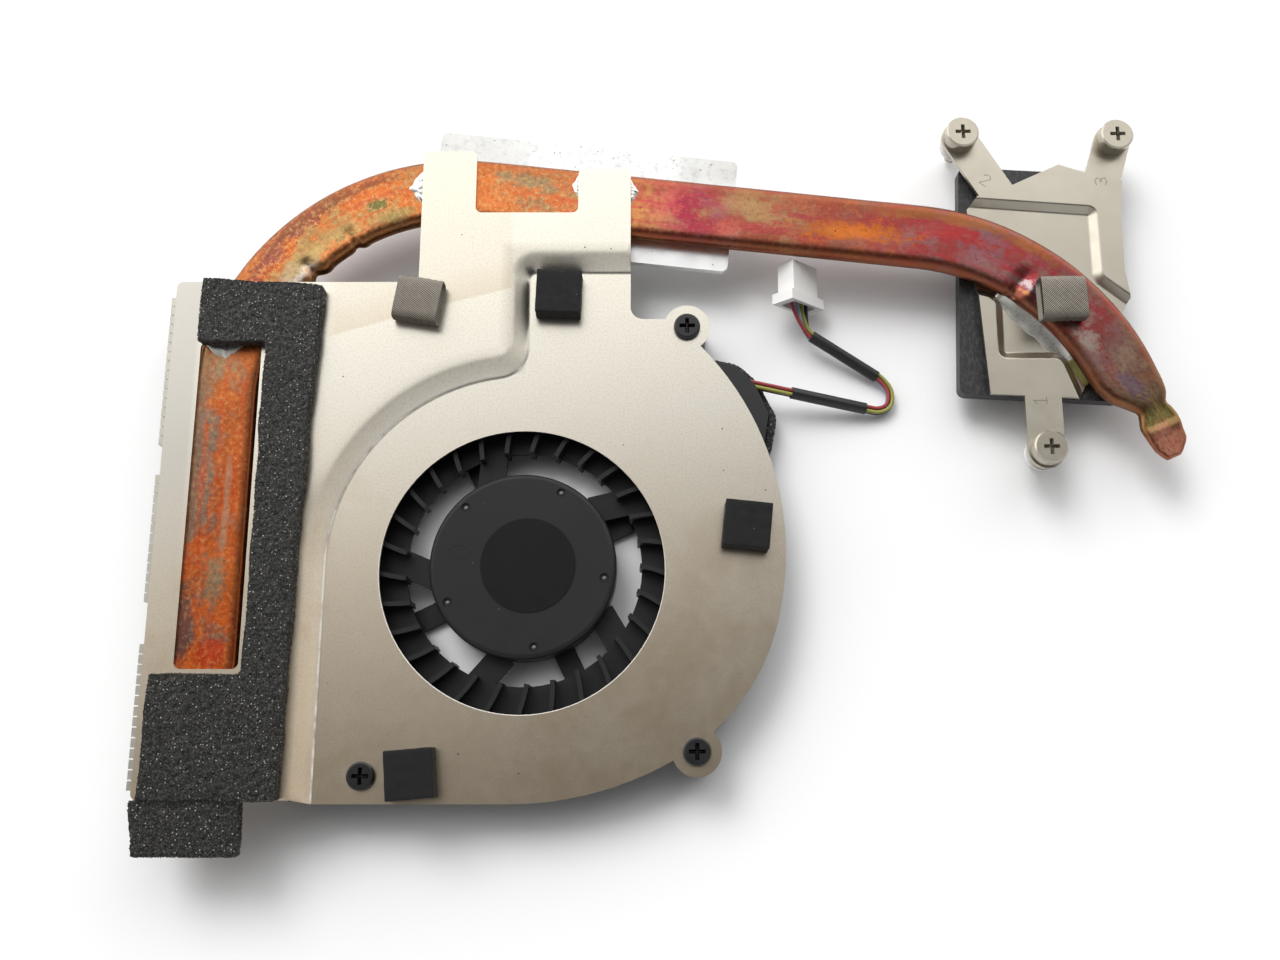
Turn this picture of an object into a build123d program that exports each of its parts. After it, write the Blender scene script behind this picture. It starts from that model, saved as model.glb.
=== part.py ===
"""Laptop cooler: blower fan, fin stack, flattened heat pipe and cold plate, in millimetres.

The Z axis is the fan's spin axis and Z = 0 is the underside of the fan base. +X runs along the
heat pipe to the cold plate, and +Y from the fan to the pipe.
"""

import os
from math import acos, atan2, cos, degrees, hypot, pi, radians, sin, tan

from build123d import *

os.makedirs("parts", exist_ok=True)

# Levels of the cover sheet: low over the impeller, raised over the fins and the heat pipe
sheet = 0.5
low_top = 8.0
step_rise = 2.0
draw_run = 2.4
fold_round = 0.8
fold_start = 180
draw_margin = 5.0
corner_reach = 0.1
low_under = low_top - sheet
raised_top = low_top + step_rise
raised_under = raised_top - sheet

# Cover in plan
cover_left = -55.7
cover_front = -35.4
raised_front = -34.8
duct_back = 45.1
fold_r = 30.1
fold_x = 0.2
fold_back = 47.5
fold_blend = 4.8
fold_corner = 1.2
tab_left = -17.3
tab_right = 16.5
prong_back_left = 67.9
prong_back_right = 64.8
notch_left = -8.6
notch_right = 8.0
notch_front = 57.1
sheet_corner = 1.0
inlet_r = 21.8
inlet_y = -0.8
window_left = -51.1
window_right = -41.5
window_front = -16.0
window_back = 35.0

# Volute: three arcs, each tangent to the one before
volute_x = -1.2
volute_radii = (49.9, 32.2, 47.0)
volute_turns = (29.9, 45.2, 58.0)
ear_r = 3.7
ear_back = 39.6
ear_blend = 2.0
back_screw = (25.5, 38.2)
right_screw = (26.4, -27.9)
front_screw = (-22.9, -31.4)
cover_screw_points = (back_screw, right_screw, front_screw)

# Fan housing
edge_inset = 0.4
wall = 1.2
base_t = 1.0
mouth_x = -33.5
mouth_reach = 2.4
tongue_r = 28.6
tongue_tip = (-24.0, -17.0)
tongue_end = -3.0
tongue_low = -30.5
boss_r = 2.5
base_inlet_r = 19.6
motor_seat_r = 12.9
strut_w = 3.4
strut_angles = (26, 116, 206)
ledge_points = ((28.0, 33.4), (33.2, 32.3), (36.2, 29.4), (38.4, 24.4), (37.6, 19.5), (30.0, 22.0))
ledge_top = 6.4
exit_foam_t = 1.5
exit_foam_h = 3.4

# Impeller
hub_r = 14.4
hub_top = 7.0
hub_edge = 0.8
hub_wall = 1.0
hub_roof = 0.9
rotor_gap = 0.5
ring_in = 18.3
ring_out = 26.8
ring_t = 0.8
ring_level = 3.2
blade_count = 29
blade_in = 18.0
blade_t = 0.7
blade_sweep = 12
blade_curve_r = 24.0
blade_turn = 24
blade_low = 1.9
blade_high = 6.8
spoke_count = 5
spoke_w = 4.2
spoke_sweep = 24
spoke_start = 37
dimple_r = 0.75
dimple_depth = 0.3
dimple_circle = 12.7
dimple_start = -9
label_r = 7.3
label_t = 0.1
label_x = 0.8

# Motor
yoke_t = 0.5
magnet_t = 1.7
air_gap = 0.4
shaft_r = 1.0
running_clearance = 0.03
bearing_r = 2.2
bush_r = 3.1
bush_flange_r = 4.2
bush_flange_t = 0.5
bush_top = 5.2
bush_low = 0.3
bush_floor = 0.3
thrust_t = 0.3
stator_low = 2.6
stator_t = 1.5
pole_count = 6
pole_w = 1.5
pole_tip_t = 0.9
pole_slot_depth = 3.6
stator_hub_r = 4.4
coil_t = 0.55
coil_margin = 0.35
board_r = 10.6
board_t = 0.6

# Heat pipe: an 8 mm pipe pressed flat
pipe_w = 10.85
pipe_t = 3.0
pipe_x = -47.3
pipe_front = -42.2
pipe_end_round = 1.2
first_bend_y = 25.5
first_bend_r = 36.2
run_heading = -6.3
run_length = 70.9
second_bend_r = 37.9
end_heading = -66.0
tip_sections = (
    (2.0, 0.05, 10.6, 2.95),
    (4.6, 0.55, 9.3, 2.8),
    (8.0, 1.5, 4.8, 2.2),
    (10.6, 1.4, 6.6, 1.5),
    (14.4, 1.3, 5.6, 1.2),
    (16.4, 0.75, 2.3, 1.1),
)
pipe_under = raised_under - pipe_t

# Fin stack
fin_left = -57.8
fin_right = -35.0
fin_low = 0.5
fin_front = -33.5
fin_spacing = 1.55
fin_count = 50
fin_t = 0.25
fin_seam = 0.2
fin_recess = 2.4
short_rows = (14, 15, 16, 17, 31, 32, 33)
full_rows = [row for row in range(fin_count) if row not in short_rows]

# Spreader plate under the pipe
spreader_w = 49.6
spreader_d = 19.6
spreader_t = 1.2
spreader_centre = (8.6, 60.8)
spreader_turn = -6.4

# Spring bracket and cold plate, in plan from the end of the pipe's straight run
bracket_t = 0.7
tray_depth = 1.0
tray_run = 1.2
tray_corner = 1.5
tray_round = 0.5
arm_end_r = 2.9
arm_roots = ((18.4, -23.7), (13.3, 8.4), (30.9, 10.3))
bracket_points = (
    (10.1, 7.5),
    (8.5, 5.5),
    (9.3, -9.7),
    (10.1, -26.4),
    (24.3, -27.1),
    (33.8, -10.2),
    (33.2, -5.6),
    (33.5, 4.1),
    (34.2, 10.3),
    (27.1, 12.1),
    (23.9, 13.2),
    (16.2, 9.6),
)
tray_points = (
    (2.7, 7.7),
    (29.6, 5.7),
    (29.5, -6.3),
    (38.7, -13.7),
    (30.7, -33.7),
    (24.9, -29.7),
    (21.7, -20.5),
    (11.8, -20.5),
    (11.9, -10.5),
    (2.7, -7.7),
)
arm_screw_points = ((18.3, -35.6), (7.8, 17.9), (33.2, 17.5))
block_w = 26.0
block_d = 39.5
block_t = 2.2
block_centre = (19.7, -6.9)
block_turn = -3.0
block_corner = 1.2
tray_floor = pipe_under
rim_top = tray_floor + tray_depth
rim_under = rim_top - bracket_t
block_top = tray_floor - bracket_t

# Captive screws and their retaining washers
head_r = 2.65
head_h = 2.4
head_edge = 0.25
shank_r = 1.35
shank_clearance = 0.3
thread_r = 1.0
thread_length = 3.0
washer_r = 2.7
washer_t = 0.5
groove_r = 1.0
groove_clearance = 0.1
screw_travel = 1.7
recess_w = 0.62
recess_span = 2.5
recess_depth = 1.1
recess_taper = 12

# Cover screws
cover_head_r = 2.1
cover_head_h = 0.9
cover_head_edge = 0.35
cover_thread_r = 0.9
cover_thread_length = 4.5
cover_hole_clearance = 0.25
thread_clearance = 0.03

# Soft pieces on top
foam_t = 2.2
foam_left = -54.0
foam_top_left = -51.0
foam_lip = 0.7
foam_back = 44.4
foam_bar_left = -40.4
foam_right = -32.8
foam_tail_front = -42.6
foam_tail_left = -55.2
foam_tail_right = -39.2
pad_t = 3.2
pad_size = 7.2
pad_points = ((5.1, 43.2), (34.3, 5.7), (-15.4, -31.1))
pad_turns = (-2, -6, 5)
fabric_t = 3.2
fabric_size = 7.0
fabric_cover_point = (-16.8, 41.3)
fabric_cover_turn = -9
fabric_pipe_point = (21.3, -11.9)
fabric_pipe_turn = 1

# Fan cable: four wires in two rows, two sleeves and a plug
wire_d = 0.62
wire_spacing = 0.68
wire_count = 4
wires = (("red", 1, 1), ("blue", 1, -1), ("yellow", -1, 1), ("black", -1, -1))
run_share = 0.45
route = (
    (34.6, 30.0, 4.7),
    (38.4, 29.2, 4.6),
    (56.8, 26.2, 1.2),
    (58.7, 27.0, 1.1),
    (59.0, 29.6, 1.1),
    (57.5, 31.6, 1.2),
    (45.3, 38.9, 3.2),
)
slot_gap = 0.3
slot_depth = 8.0
sleeve_gap = 0.02
sleeve_t = 0.14
sleeve_length = 12.6
sleeve_places = ((1, 0.55), (5, 0.5))
plug_seat = (43.9, 43.0, 4.35)
plug_pitch_down = 0
plug_roll = 43
plug_w = 6.0
plug_d = 3.3
plug_length = 7.1
plug_flange_w = 8.0
plug_flange_d = 4.2
plug_flange_t = 1.7
plug_pocket_depth = 1.6
plug_edge = 0.3
contact_spacing = 1.25
contact_side = 0.6
contact_depth = 4.4
plug_lead = 1.8


def place_at(point, level):
    """A horizontal plane through a plan point at a level."""
    return Plane.XY.offset(level).shift_origin((point[0], point[1], level))


def corners_at(sketch, points):
    """The corners of a sketch that stand on the given plan points."""
    return [
        corner
        for corner in sketch.vertices()
        if any(abs(corner.X - x) + abs(corner.Y - y) < corner_reach for x, y in points)
    ]


def volute_line(inset):
    """The volute's arcs as line objects, moved inward by the inset."""
    start = (volute_x, cover_front + inset)
    first = JernArc(start, (1, 0), volute_radii[0] - inset, volute_turns[0])
    second = JernArc(first @ 1, first % 1, volute_radii[1] - inset, volute_turns[1])
    return JernArc(second @ 1, second % 1, volute_radii[2] - inset, volute_turns[2])


def slopes_of(form):
    """The slanted walls of a drawn form, which face upward."""
    return form.faces().filter_by(lambda face: 0 < round(face.normal_at().Z, 3) < 1)


# Fan cover: one sheet, drawn up over the fins and the tab
with BuildSketch() as cover_plan:
    with BuildLine():
        last_arc = volute_line(0)
        Polyline(
            last_arc @ 1,
            (back_screw[0], ear_back),
            (tab_right, ear_back),
            (tab_right, prong_back_right),
            (notch_right, prong_back_right),
            (notch_right, notch_front),
            (notch_left, notch_front),
            (notch_left, prong_back_left),
            (tab_left, prong_back_left),
            (tab_left, duct_back),
            (cover_left, duct_back),
            (cover_left, raised_front),
            (-fold_r - draw_run, raised_front),
            (-fold_r, cover_front),
            (volute_x, cover_front),
        )
    make_face()
    with Locations(back_screw, right_screw):
        Circle(ear_r)
    fillet(
        corners_at(
            cover_plan,
            (
                (tab_right, prong_back_right),
                (notch_right, prong_back_right),
                (notch_right, notch_front),
                (notch_left, notch_front),
                (notch_left, prong_back_left),
                (tab_left, prong_back_left),
                (tab_left, duct_back),
                (cover_left, duct_back),
                (cover_left, raised_front),
            ),
        ),
        sheet_corner,
    )
    fillet(corners_at(cover_plan, ((tab_right, ear_back),)), ear_blend)

with BuildSketch() as draw_plan:
    with BuildLine():
        fold_arc = CenterArc((0, 0), fold_r, fold_start, degrees(acos(fold_x / fold_r)) - fold_start)
        Polyline(
            fold_arc @ 1,
            (fold_x, fold_back),
            (tab_right + draw_margin, fold_back),
            (tab_right + draw_margin, prong_back_left + draw_margin),
            (cover_left - draw_margin, prong_back_left + draw_margin),
            (cover_left - draw_margin, cover_front - draw_margin),
            (-fold_r, cover_front - draw_margin),
            (-fold_r, 0),
        )
    make_face()
    fillet(corners_at(draw_plan, ((fold_x, (fold_arc @ 1).Y),)), fold_blend)
    fillet(corners_at(draw_plan, ((fold_x, fold_back),)), fold_corner)

with BuildPart() as draw_form:
    with BuildSketch(Plane.XY.offset(low_top)):
        add(draw_plan.sketch)
        offset(amount=draw_margin, mode=Mode.REPLACE)
    extrude(amount=-low_top)
    with BuildSketch(Plane.XY.offset(low_top)):
        add(cover_plan.sketch)
    extrude(amount=-low_top)
    with BuildSketch(Plane.XY.offset(low_top)):
        add(draw_plan.sketch)
    extrude(amount=step_rise, taper=degrees(atan2(draw_run, step_rise)))
    levels = slopes_of(draw_form).edges().group_by(Axis.Z)
    fillet(levels[0] + levels[-1], fold_round)

with BuildPart() as fan_cover:
    add(draw_form.part)
    add(draw_form.part.moved(Location((0, 0, -sheet))), mode=Mode.SUBTRACT)
    with BuildSketch(Plane.XY.offset(low_under)):
        add(cover_plan.sketch)
    extrude(amount=sheet + step_rise, mode=Mode.INTERSECT)
    with BuildSketch(Plane.XY.offset(low_under)):
        with Locations((0, inlet_y)):
            Circle(inlet_r)
        with Locations(*cover_screw_points):
            Circle(cover_thread_r + cover_hole_clearance)
    extrude(amount=sheet, mode=Mode.SUBTRACT)
    with BuildSketch(Plane.XY.offset(raised_under)):
        with Locations(((window_left + window_right) / 2, (window_front + window_back) / 2)):
            RectangleRounded(window_right - window_left, window_back - window_front, sheet_corner)
    extrude(amount=sheet, mode=Mode.SUBTRACT)
fan_cover.part.label = "fan_cover"
export_step(fan_cover.part, "parts/fan_cover.step")

# Fan housing: base plate, volute wall, tongue, screw bosses and the ledge that the cable leaves by
front_wall = cover_front + edge_inset
back_wall = duct_back - edge_inset
with BuildSketch() as shell_plan:
    with BuildLine():
        last_arc = volute_line(edge_inset)
        Polyline(
            last_arc @ 1,
            (back_screw[0], ear_back - edge_inset),
            (tab_right - edge_inset, ear_back - edge_inset),
            (tab_right - edge_inset, back_wall),
            (mouth_x, back_wall),
            (mouth_x, front_wall),
            (volute_x, front_wall),
        )
    make_face()
    with Locations(back_screw, right_screw):
        Circle(ear_r - edge_inset)

with BuildSketch() as chamber_plan:
    add(shell_plan.sketch)
    offset(amount=-wall, mode=Mode.REPLACE)
    with Locations((mouth_x, (front_wall + back_wall) / 2)):
        Rectangle(2 * mouth_reach, back_wall - front_wall - 2 * wall)
    with BuildLine():
        Polyline(
            (mouth_x - mouth_reach, cover_front),
            (mouth_x - mouth_reach, tongue_low),
            tongue_tip,
            (tongue_end, -tongue_r),
            (tongue_end, cover_front),
            close=True,
        )
    make_face(mode=Mode.SUBTRACT)
    Circle(tongue_r)

with BuildSketch() as ledge_plan:
    with BuildLine():
        Polyline(*ledge_points, close=True)
    make_face()
    fillet(corners_at(ledge_plan, ledge_points[1:4]), ear_blend)

slot_side = wire_spacing + wire_d + 2 * slot_gap
exit_way = (Vector(*route[1]) - Vector(*route[0])).normalized()
exit_plane = Plane(origin=route[0], x_dir=(-exit_way.Y, exit_way.X, 0), z_dir=exit_way)
with BuildPart() as fan_housing:
    with BuildSketch():
        add(shell_plan.sketch)
        add(ledge_plan.sketch)
    extrude(amount=base_t)
    with BuildSketch(Plane.XY.offset(base_t)):
        add(shell_plan.sketch)
        add(chamber_plan.sketch, mode=Mode.SUBTRACT)
        with Locations(*cover_screw_points):
            Circle(boss_r)
    extrude(amount=low_under - base_t)
    with BuildSketch(Plane.XY.offset(base_t)):
        add(ledge_plan.sketch)
        add(chamber_plan.sketch, mode=Mode.SUBTRACT)
    extrude(amount=ledge_top - base_t)
    with BuildSketch(Plane.XY.offset(low_under)):
        with Locations((mouth_x, back_wall)):
            Rectangle(fold_x - draw_run - wall - mouth_x, wall, align=(Align.MIN, Align.MAX))
    extrude(amount=step_rise)
    with BuildSketch():
        Circle(base_inlet_r)
        for angle in strut_angles:
            with PolarLocations(base_inlet_r, 1, start_angle=angle):
                Rectangle(2 * base_inlet_r, strut_w, align=(Align.MAX, Align.CENTER), mode=Mode.SUBTRACT)
        Circle(motor_seat_r, mode=Mode.SUBTRACT)
    extrude(amount=base_t, mode=Mode.SUBTRACT)
    with BuildSketch(Plane.XY.offset(bush_low)):
        Circle(bush_r)
    extrude(amount=base_t - bush_low, mode=Mode.SUBTRACT)
    with BuildSketch(Plane.XY.offset(low_under)):
        with Locations(*cover_screw_points):
            Circle(cover_thread_r + thread_clearance)
    extrude(amount=sheet - cover_thread_length - thread_clearance, mode=Mode.SUBTRACT)
    with BuildSketch(exit_plane):
        Rectangle(slot_side, slot_side)
    extrude(amount=slot_depth, mode=Mode.SUBTRACT)
fan_housing.part.label = "fan_housing"
export_step(fan_housing.part, "parts/fan_housing.step")

# Foam strip round the ledge, under the wires
with BuildPart() as exit_foam:
    with BuildSketch(Plane.XY.offset(base_t)):
        add(ledge_plan.sketch)
        offset(amount=exit_foam_t, mode=Mode.REPLACE)
        add(shell_plan.sketch, mode=Mode.SUBTRACT)
        add(ledge_plan.sketch, mode=Mode.SUBTRACT)
    extrude(amount=exit_foam_h - base_t)
exit_foam.part.label = "exit_foam"
export_step(exit_foam.part, "parts/exit_foam.step")

# Impeller: hub cup, spokes, ring and swept blades in one moulding
rotor_low = base_t + rotor_gap
hub_bore = hub_r - hub_wall
cup_top = hub_top - hub_roof
shaft_top = hub_top - hub_roof / 2
with BuildSketch() as blade_plan:
    with BuildLine():
        lean = radians(-blade_sweep)
        JernArc((blade_in, 0), (cos(lean), sin(lean)), blade_curve_r, -blade_turn)
    trace(line_width=blade_t)

with BuildPart() as impeller:
    with BuildSketch(Plane.XY.offset(rotor_low)):
        Circle(hub_r)
    extrude(amount=hub_top - rotor_low)
    fillet(impeller.edges().group_by(Axis.Z)[-1], hub_edge)
    with BuildSketch(Plane.XY.offset(rotor_low)):
        Circle(hub_bore)
    extrude(amount=cup_top - rotor_low, mode=Mode.SUBTRACT)
    with BuildSketch(Plane.XY.offset(cup_top)):
        Circle(shaft_r)
    extrude(amount=shaft_top - cup_top, mode=Mode.SUBTRACT)
    with BuildSketch(Plane.XY.offset(hub_top)):
        with PolarLocations(dimple_circle, spoke_count, start_angle=dimple_start):
            Circle(dimple_r)
    extrude(amount=-dimple_depth, mode=Mode.SUBTRACT)
    with BuildSketch(Plane.XY.offset(ring_level)):
        Circle(ring_out)
        Circle(ring_in, mode=Mode.SUBTRACT)
        with PolarLocations((hub_r + ring_in) / 2, spoke_count, start_angle=spoke_start):
            Rectangle(ring_in - hub_r + 2 * hub_wall, spoke_w, rotation=-spoke_sweep)
        Circle(hub_r - hub_wall / 2, mode=Mode.SUBTRACT)
    extrude(amount=ring_t)
    with BuildSketch(Plane.XY.offset(blade_low)):
        with PolarLocations(0, blade_count):
            add(blade_plan.sketch)
    extrude(amount=blade_high - blade_low)
impeller.part.label = "impeller"
export_step(impeller.part, "parts/impeller.step")

with BuildPart() as hub_label:
    with BuildSketch(place_at((label_x, 0), hub_top)):
        Circle(label_r)
    extrude(amount=label_t)
hub_label.part.label = "hub_label"
export_step(hub_label.part, "parts/hub_label.step")

# Turning half of the motor: steel yoke cup, magnet ring and shaft
yoke_in = hub_bore - yoke_t
magnet_in = yoke_in - magnet_t
with BuildPart() as rotor_yoke:
    with BuildSketch(Plane.XY.offset(rotor_low)):
        Circle(hub_bore)
    extrude(amount=cup_top - rotor_low)
    with BuildSketch(Plane.XY.offset(rotor_low)):
        Circle(yoke_in)
    extrude(amount=cup_top - yoke_t - rotor_low, mode=Mode.SUBTRACT)
    Hole(shaft_r)
rotor_yoke.part.label = "rotor_yoke"
export_step(rotor_yoke.part, "parts/rotor_yoke.step")

with BuildPart() as magnet_ring:
    with BuildSketch(Plane.XY.offset(rotor_low)):
        Circle(yoke_in)
        Circle(magnet_in, mode=Mode.SUBTRACT)
    extrude(amount=cup_top - yoke_t - rotor_low)
magnet_ring.part.label = "magnet_ring"
export_step(magnet_ring.part, "parts/magnet_ring.step")

shaft_low = bush_low + bush_floor + thrust_t
with BuildPart() as shaft:
    with BuildSketch(Plane.XY.offset(shaft_low)):
        Circle(shaft_r)
    extrude(amount=shaft_top - shaft_low)
shaft.part.label = "shaft"
export_step(shaft.part, "parts/shaft.step")

# Bearing: brass bush pressed into the base, sintered sleeve and thrust pad
with BuildPart() as bearing_bush:
    with BuildSketch(Plane.XY.offset(bush_low)):
        Circle(bush_r)
    extrude(amount=bush_top - bush_low)
    with BuildSketch(Plane.XY.offset(base_t)):
        Circle(bush_flange_r)
    extrude(amount=bush_flange_t)
    with BuildSketch(Plane.XY.offset(bush_low + bush_floor)):
        Circle(bearing_r)
    extrude(amount=bush_top - bush_low - bush_floor, mode=Mode.SUBTRACT)
bearing_bush.part.label = "bearing_bush"
export_step(bearing_bush.part, "parts/bearing_bush.step")

with BuildPart() as thrust_pad:
    with BuildSketch(Plane.XY.offset(bush_low + bush_floor)):
        Circle(bearing_r)
    extrude(amount=thrust_t)
thrust_pad.part.label = "thrust_pad"
export_step(thrust_pad.part, "parts/thrust_pad.step")

with BuildPart() as sleeve_bearing:
    with BuildSketch(Plane.XY.offset(shaft_low)):
        Circle(bearing_r)
        Circle(shaft_r + running_clearance, mode=Mode.SUBTRACT)
    extrude(amount=bush_top - shaft_low)
sleeve_bearing.part.label = "sleeve_bearing"
export_step(sleeve_bearing.part, "parts/sleeve_bearing.step")

# Fixed half of the motor: stator core, coils on its poles and the circuit board under it
stator_r = magnet_in - air_gap
pole_pitch = 360 / pole_count
with BuildPart() as stator_core:
    with BuildSketch(Plane.XY.offset(stator_low)):
        Circle(stator_r)
        Circle(stator_r - pole_tip_t, mode=Mode.SUBTRACT)
        with PolarLocations(stator_r, pole_count, start_angle=pole_pitch / 2):
            Rectangle(pole_slot_depth, pole_w, mode=Mode.SUBTRACT)
        Circle(stator_hub_r)
        with PolarLocations(stator_hub_r / 2, pole_count):
            Rectangle(stator_r - pole_tip_t / 2 - stator_hub_r / 2, pole_w, align=(Align.MIN, Align.CENTER))
        Circle(bush_r, mode=Mode.SUBTRACT)
    extrude(amount=stator_t)
stator_core.part.label = "stator_core"
export_step(stator_core.part, "parts/stator_core.step")

coil_in = stator_hub_r + coil_margin
coil_out = stator_r - pole_tip_t - coil_margin
with BuildPart() as coils:
    for pole in range(pole_count):
        pole_plane = Plane.XY.rotated((0, 0, pole_pitch * pole))
        pole_face = Plane(
            origin=pole_plane.from_local_coords((coil_in, 0, stator_low + stator_t / 2)),
            x_dir=pole_plane.y_dir,
            z_dir=pole_plane.x_dir,
        )
        with BuildSketch(pole_face):
            RectangleRounded(pole_w + 2 * coil_t, stator_t + 2 * coil_t, coil_t)
            Rectangle(pole_w, stator_t, mode=Mode.SUBTRACT)
        extrude(amount=coil_out - coil_in)
coils.part.label = "coils"
export_step(coils.part, "parts/coils.step")

with BuildPart() as circuit_board:
    with BuildSketch(Plane.XY.offset(base_t)):
        Circle(board_r)
        Circle(bush_flange_r, mode=Mode.SUBTRACT)
    extrude(amount=board_t)
circuit_board.part.label = "circuit_board"
export_step(circuit_board.part, "parts/circuit_board.step")

# Fin stack: folded fins, each with a top and a bottom flange, soldered under the heat pipe
with BuildPart() as fin_stack:
    for left, rows in ((fin_left, full_rows), (fin_left + fin_recess, short_rows)):
        with BuildSketch(Plane.YZ.offset(left)):
            for row in rows:
                near = fin_front + row * fin_spacing
                far = near + fin_spacing - fin_seam
                with BuildLine():
                    Polyline(
                        (near, fin_low),
                        (far, fin_low),
                        (far, fin_low + fin_t),
                        (near + fin_t, fin_low + fin_t),
                        (near + fin_t, pipe_under - fin_t),
                        (far, pipe_under - fin_t),
                        (far, pipe_under),
                        (near, pipe_under),
                        close=True,
                    )
                make_face()
        extrude(amount=fin_right - left)
fin_stack.part.label = "fin_stack"
export_step(fin_stack.part, "parts/fin_stack.step")

# Heat pipe: flattened section swept along two bends, with its pinched and sealed end
pipe_level = pipe_under + pipe_t / 2
with BuildLine() as pipe_path:
    along_fins = Line((pipe_x, pipe_front, pipe_level), (pipe_x, first_bend_y, pipe_level))
    first_bend = JernArc(along_fins @ 1, along_fins % 1, first_bend_r, run_heading - 90)
    across = PolarLine(first_bend @ 1, run_length, direction=first_bend % 1)
    second_bend = JernArc(across @ 1, across % 1, second_bend_r, end_heading - run_heading)
end_way = second_bend % 1
end_side = Vector(-end_way.Y, end_way.X, 0)


def from_run_end(point):
    """A plan point of the cold end, from its offset to the end of the pipe's straight run."""
    return ((across @ 1).X + point[0], (across @ 1).Y + point[1])


with BuildPart() as heat_pipe:
    with BuildSketch(Plane(origin=along_fins @ 0, x_dir=(1, 0, 0), z_dir=along_fins % 0)):
        SlotOverall(pipe_w, pipe_t)
    sweep(path=pipe_path.line)
    for distance, aside, width, thickness in ((0, 0, pipe_w, pipe_t),) + tip_sections:
        tip_centre = second_bend @ 1 + end_way * distance + end_side * aside
        with BuildSketch(Plane(origin=tip_centre, x_dir=end_side, z_dir=end_way)):
            SlotOverall(width, thickness)
    loft()
    fillet(heat_pipe.edges().group_by(Axis.Y)[0], pipe_end_round)
heat_pipe.part.label = "heat_pipe"
export_step(heat_pipe.part, "parts/heat_pipe.step")

# Spreader plate: flat aluminium plate soldered under the pipe behind the fan
with BuildPart() as spreader_plate:
    with BuildSketch(place_at(spreader_centre, pipe_under - spreader_t)):
        RectangleRounded(spreader_w, spreader_d, sheet_corner, rotation=spreader_turn)
    extrude(amount=spreader_t)
spreader_plate.part.label = "spreader_plate"
export_step(spreader_plate.part, "parts/spreader_plate.step")

# Spring bracket: stamped plate with three arms and a tray drawn down under the pipe
arm_screws = [from_run_end(point) for point in arm_screw_points]
with BuildSketch() as bracket_plan:
    with BuildLine():
        Polyline(*[from_run_end(point) for point in bracket_points], close=True)
    make_face()
    for root, tip in zip([from_run_end(point) for point in arm_roots], arm_screws):
        reach = Vector(*tip) - Vector(*root)
        with Locations(((root[0] + tip[0]) / 2, (root[1] + tip[1]) / 2)):
            SlotCenterToCenter(reach.length, 2 * arm_end_r, rotation=degrees(atan2(reach.Y, reach.X)))

with BuildSketch() as tray_plan:
    with BuildLine():
        Polyline(*[from_run_end(point) for point in tray_points], close=True)
    make_face()
    fillet(tray_plan.vertices(), tray_corner)

with BuildPart() as tray_form:
    with BuildSketch(Plane.XY.offset(rim_top)):
        add(tray_plan.sketch)
        offset(amount=draw_margin, mode=Mode.REPLACE)
        add(bracket_plan.sketch)
    extrude(amount=-rim_top)
    with BuildSketch(Plane.XY.offset(rim_top)):
        add(tray_plan.sketch)
    extrude(amount=-tray_depth, taper=degrees(atan2(tray_run, tray_depth)), mode=Mode.SUBTRACT)
    levels = slopes_of(tray_form).edges().group_by(Axis.Z)
    fillet(levels[0] + levels[-1], tray_round)

with BuildPart() as spring_bracket:
    add(tray_form.part)
    add(tray_form.part.moved(Location((0, 0, -bracket_t))), mode=Mode.SUBTRACT)
    with BuildSketch(Plane.XY.offset(block_top)):
        add(bracket_plan.sketch)
    extrude(amount=bracket_t + tray_depth, mode=Mode.INTERSECT)
    with BuildSketch(Plane.XY.offset(rim_under)):
        with Locations(*arm_screws):
            Circle(shank_r + shank_clearance)
    extrude(amount=bracket_t, mode=Mode.SUBTRACT)
spring_bracket.part.label = "spring_bracket"
export_step(spring_bracket.part, "parts/spring_bracket.step")

# Cold plate: black block under the tray, its underside on the chip
with BuildPart() as cold_plate:
    with BuildSketch(place_at(from_run_end(block_centre), block_top - block_t)):
        RectangleRounded(block_w, block_d, block_corner, rotation=block_turn)
    extrude(amount=block_t)
cold_plate.part.label = "cold_plate"
export_step(cold_plate.part, "parts/cold_plate.step")

# Cross recess of all the screws, in plan
with BuildSketch() as recess_plan:
    Rectangle(recess_span, recess_w)
    Rectangle(recess_w, recess_span)

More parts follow.
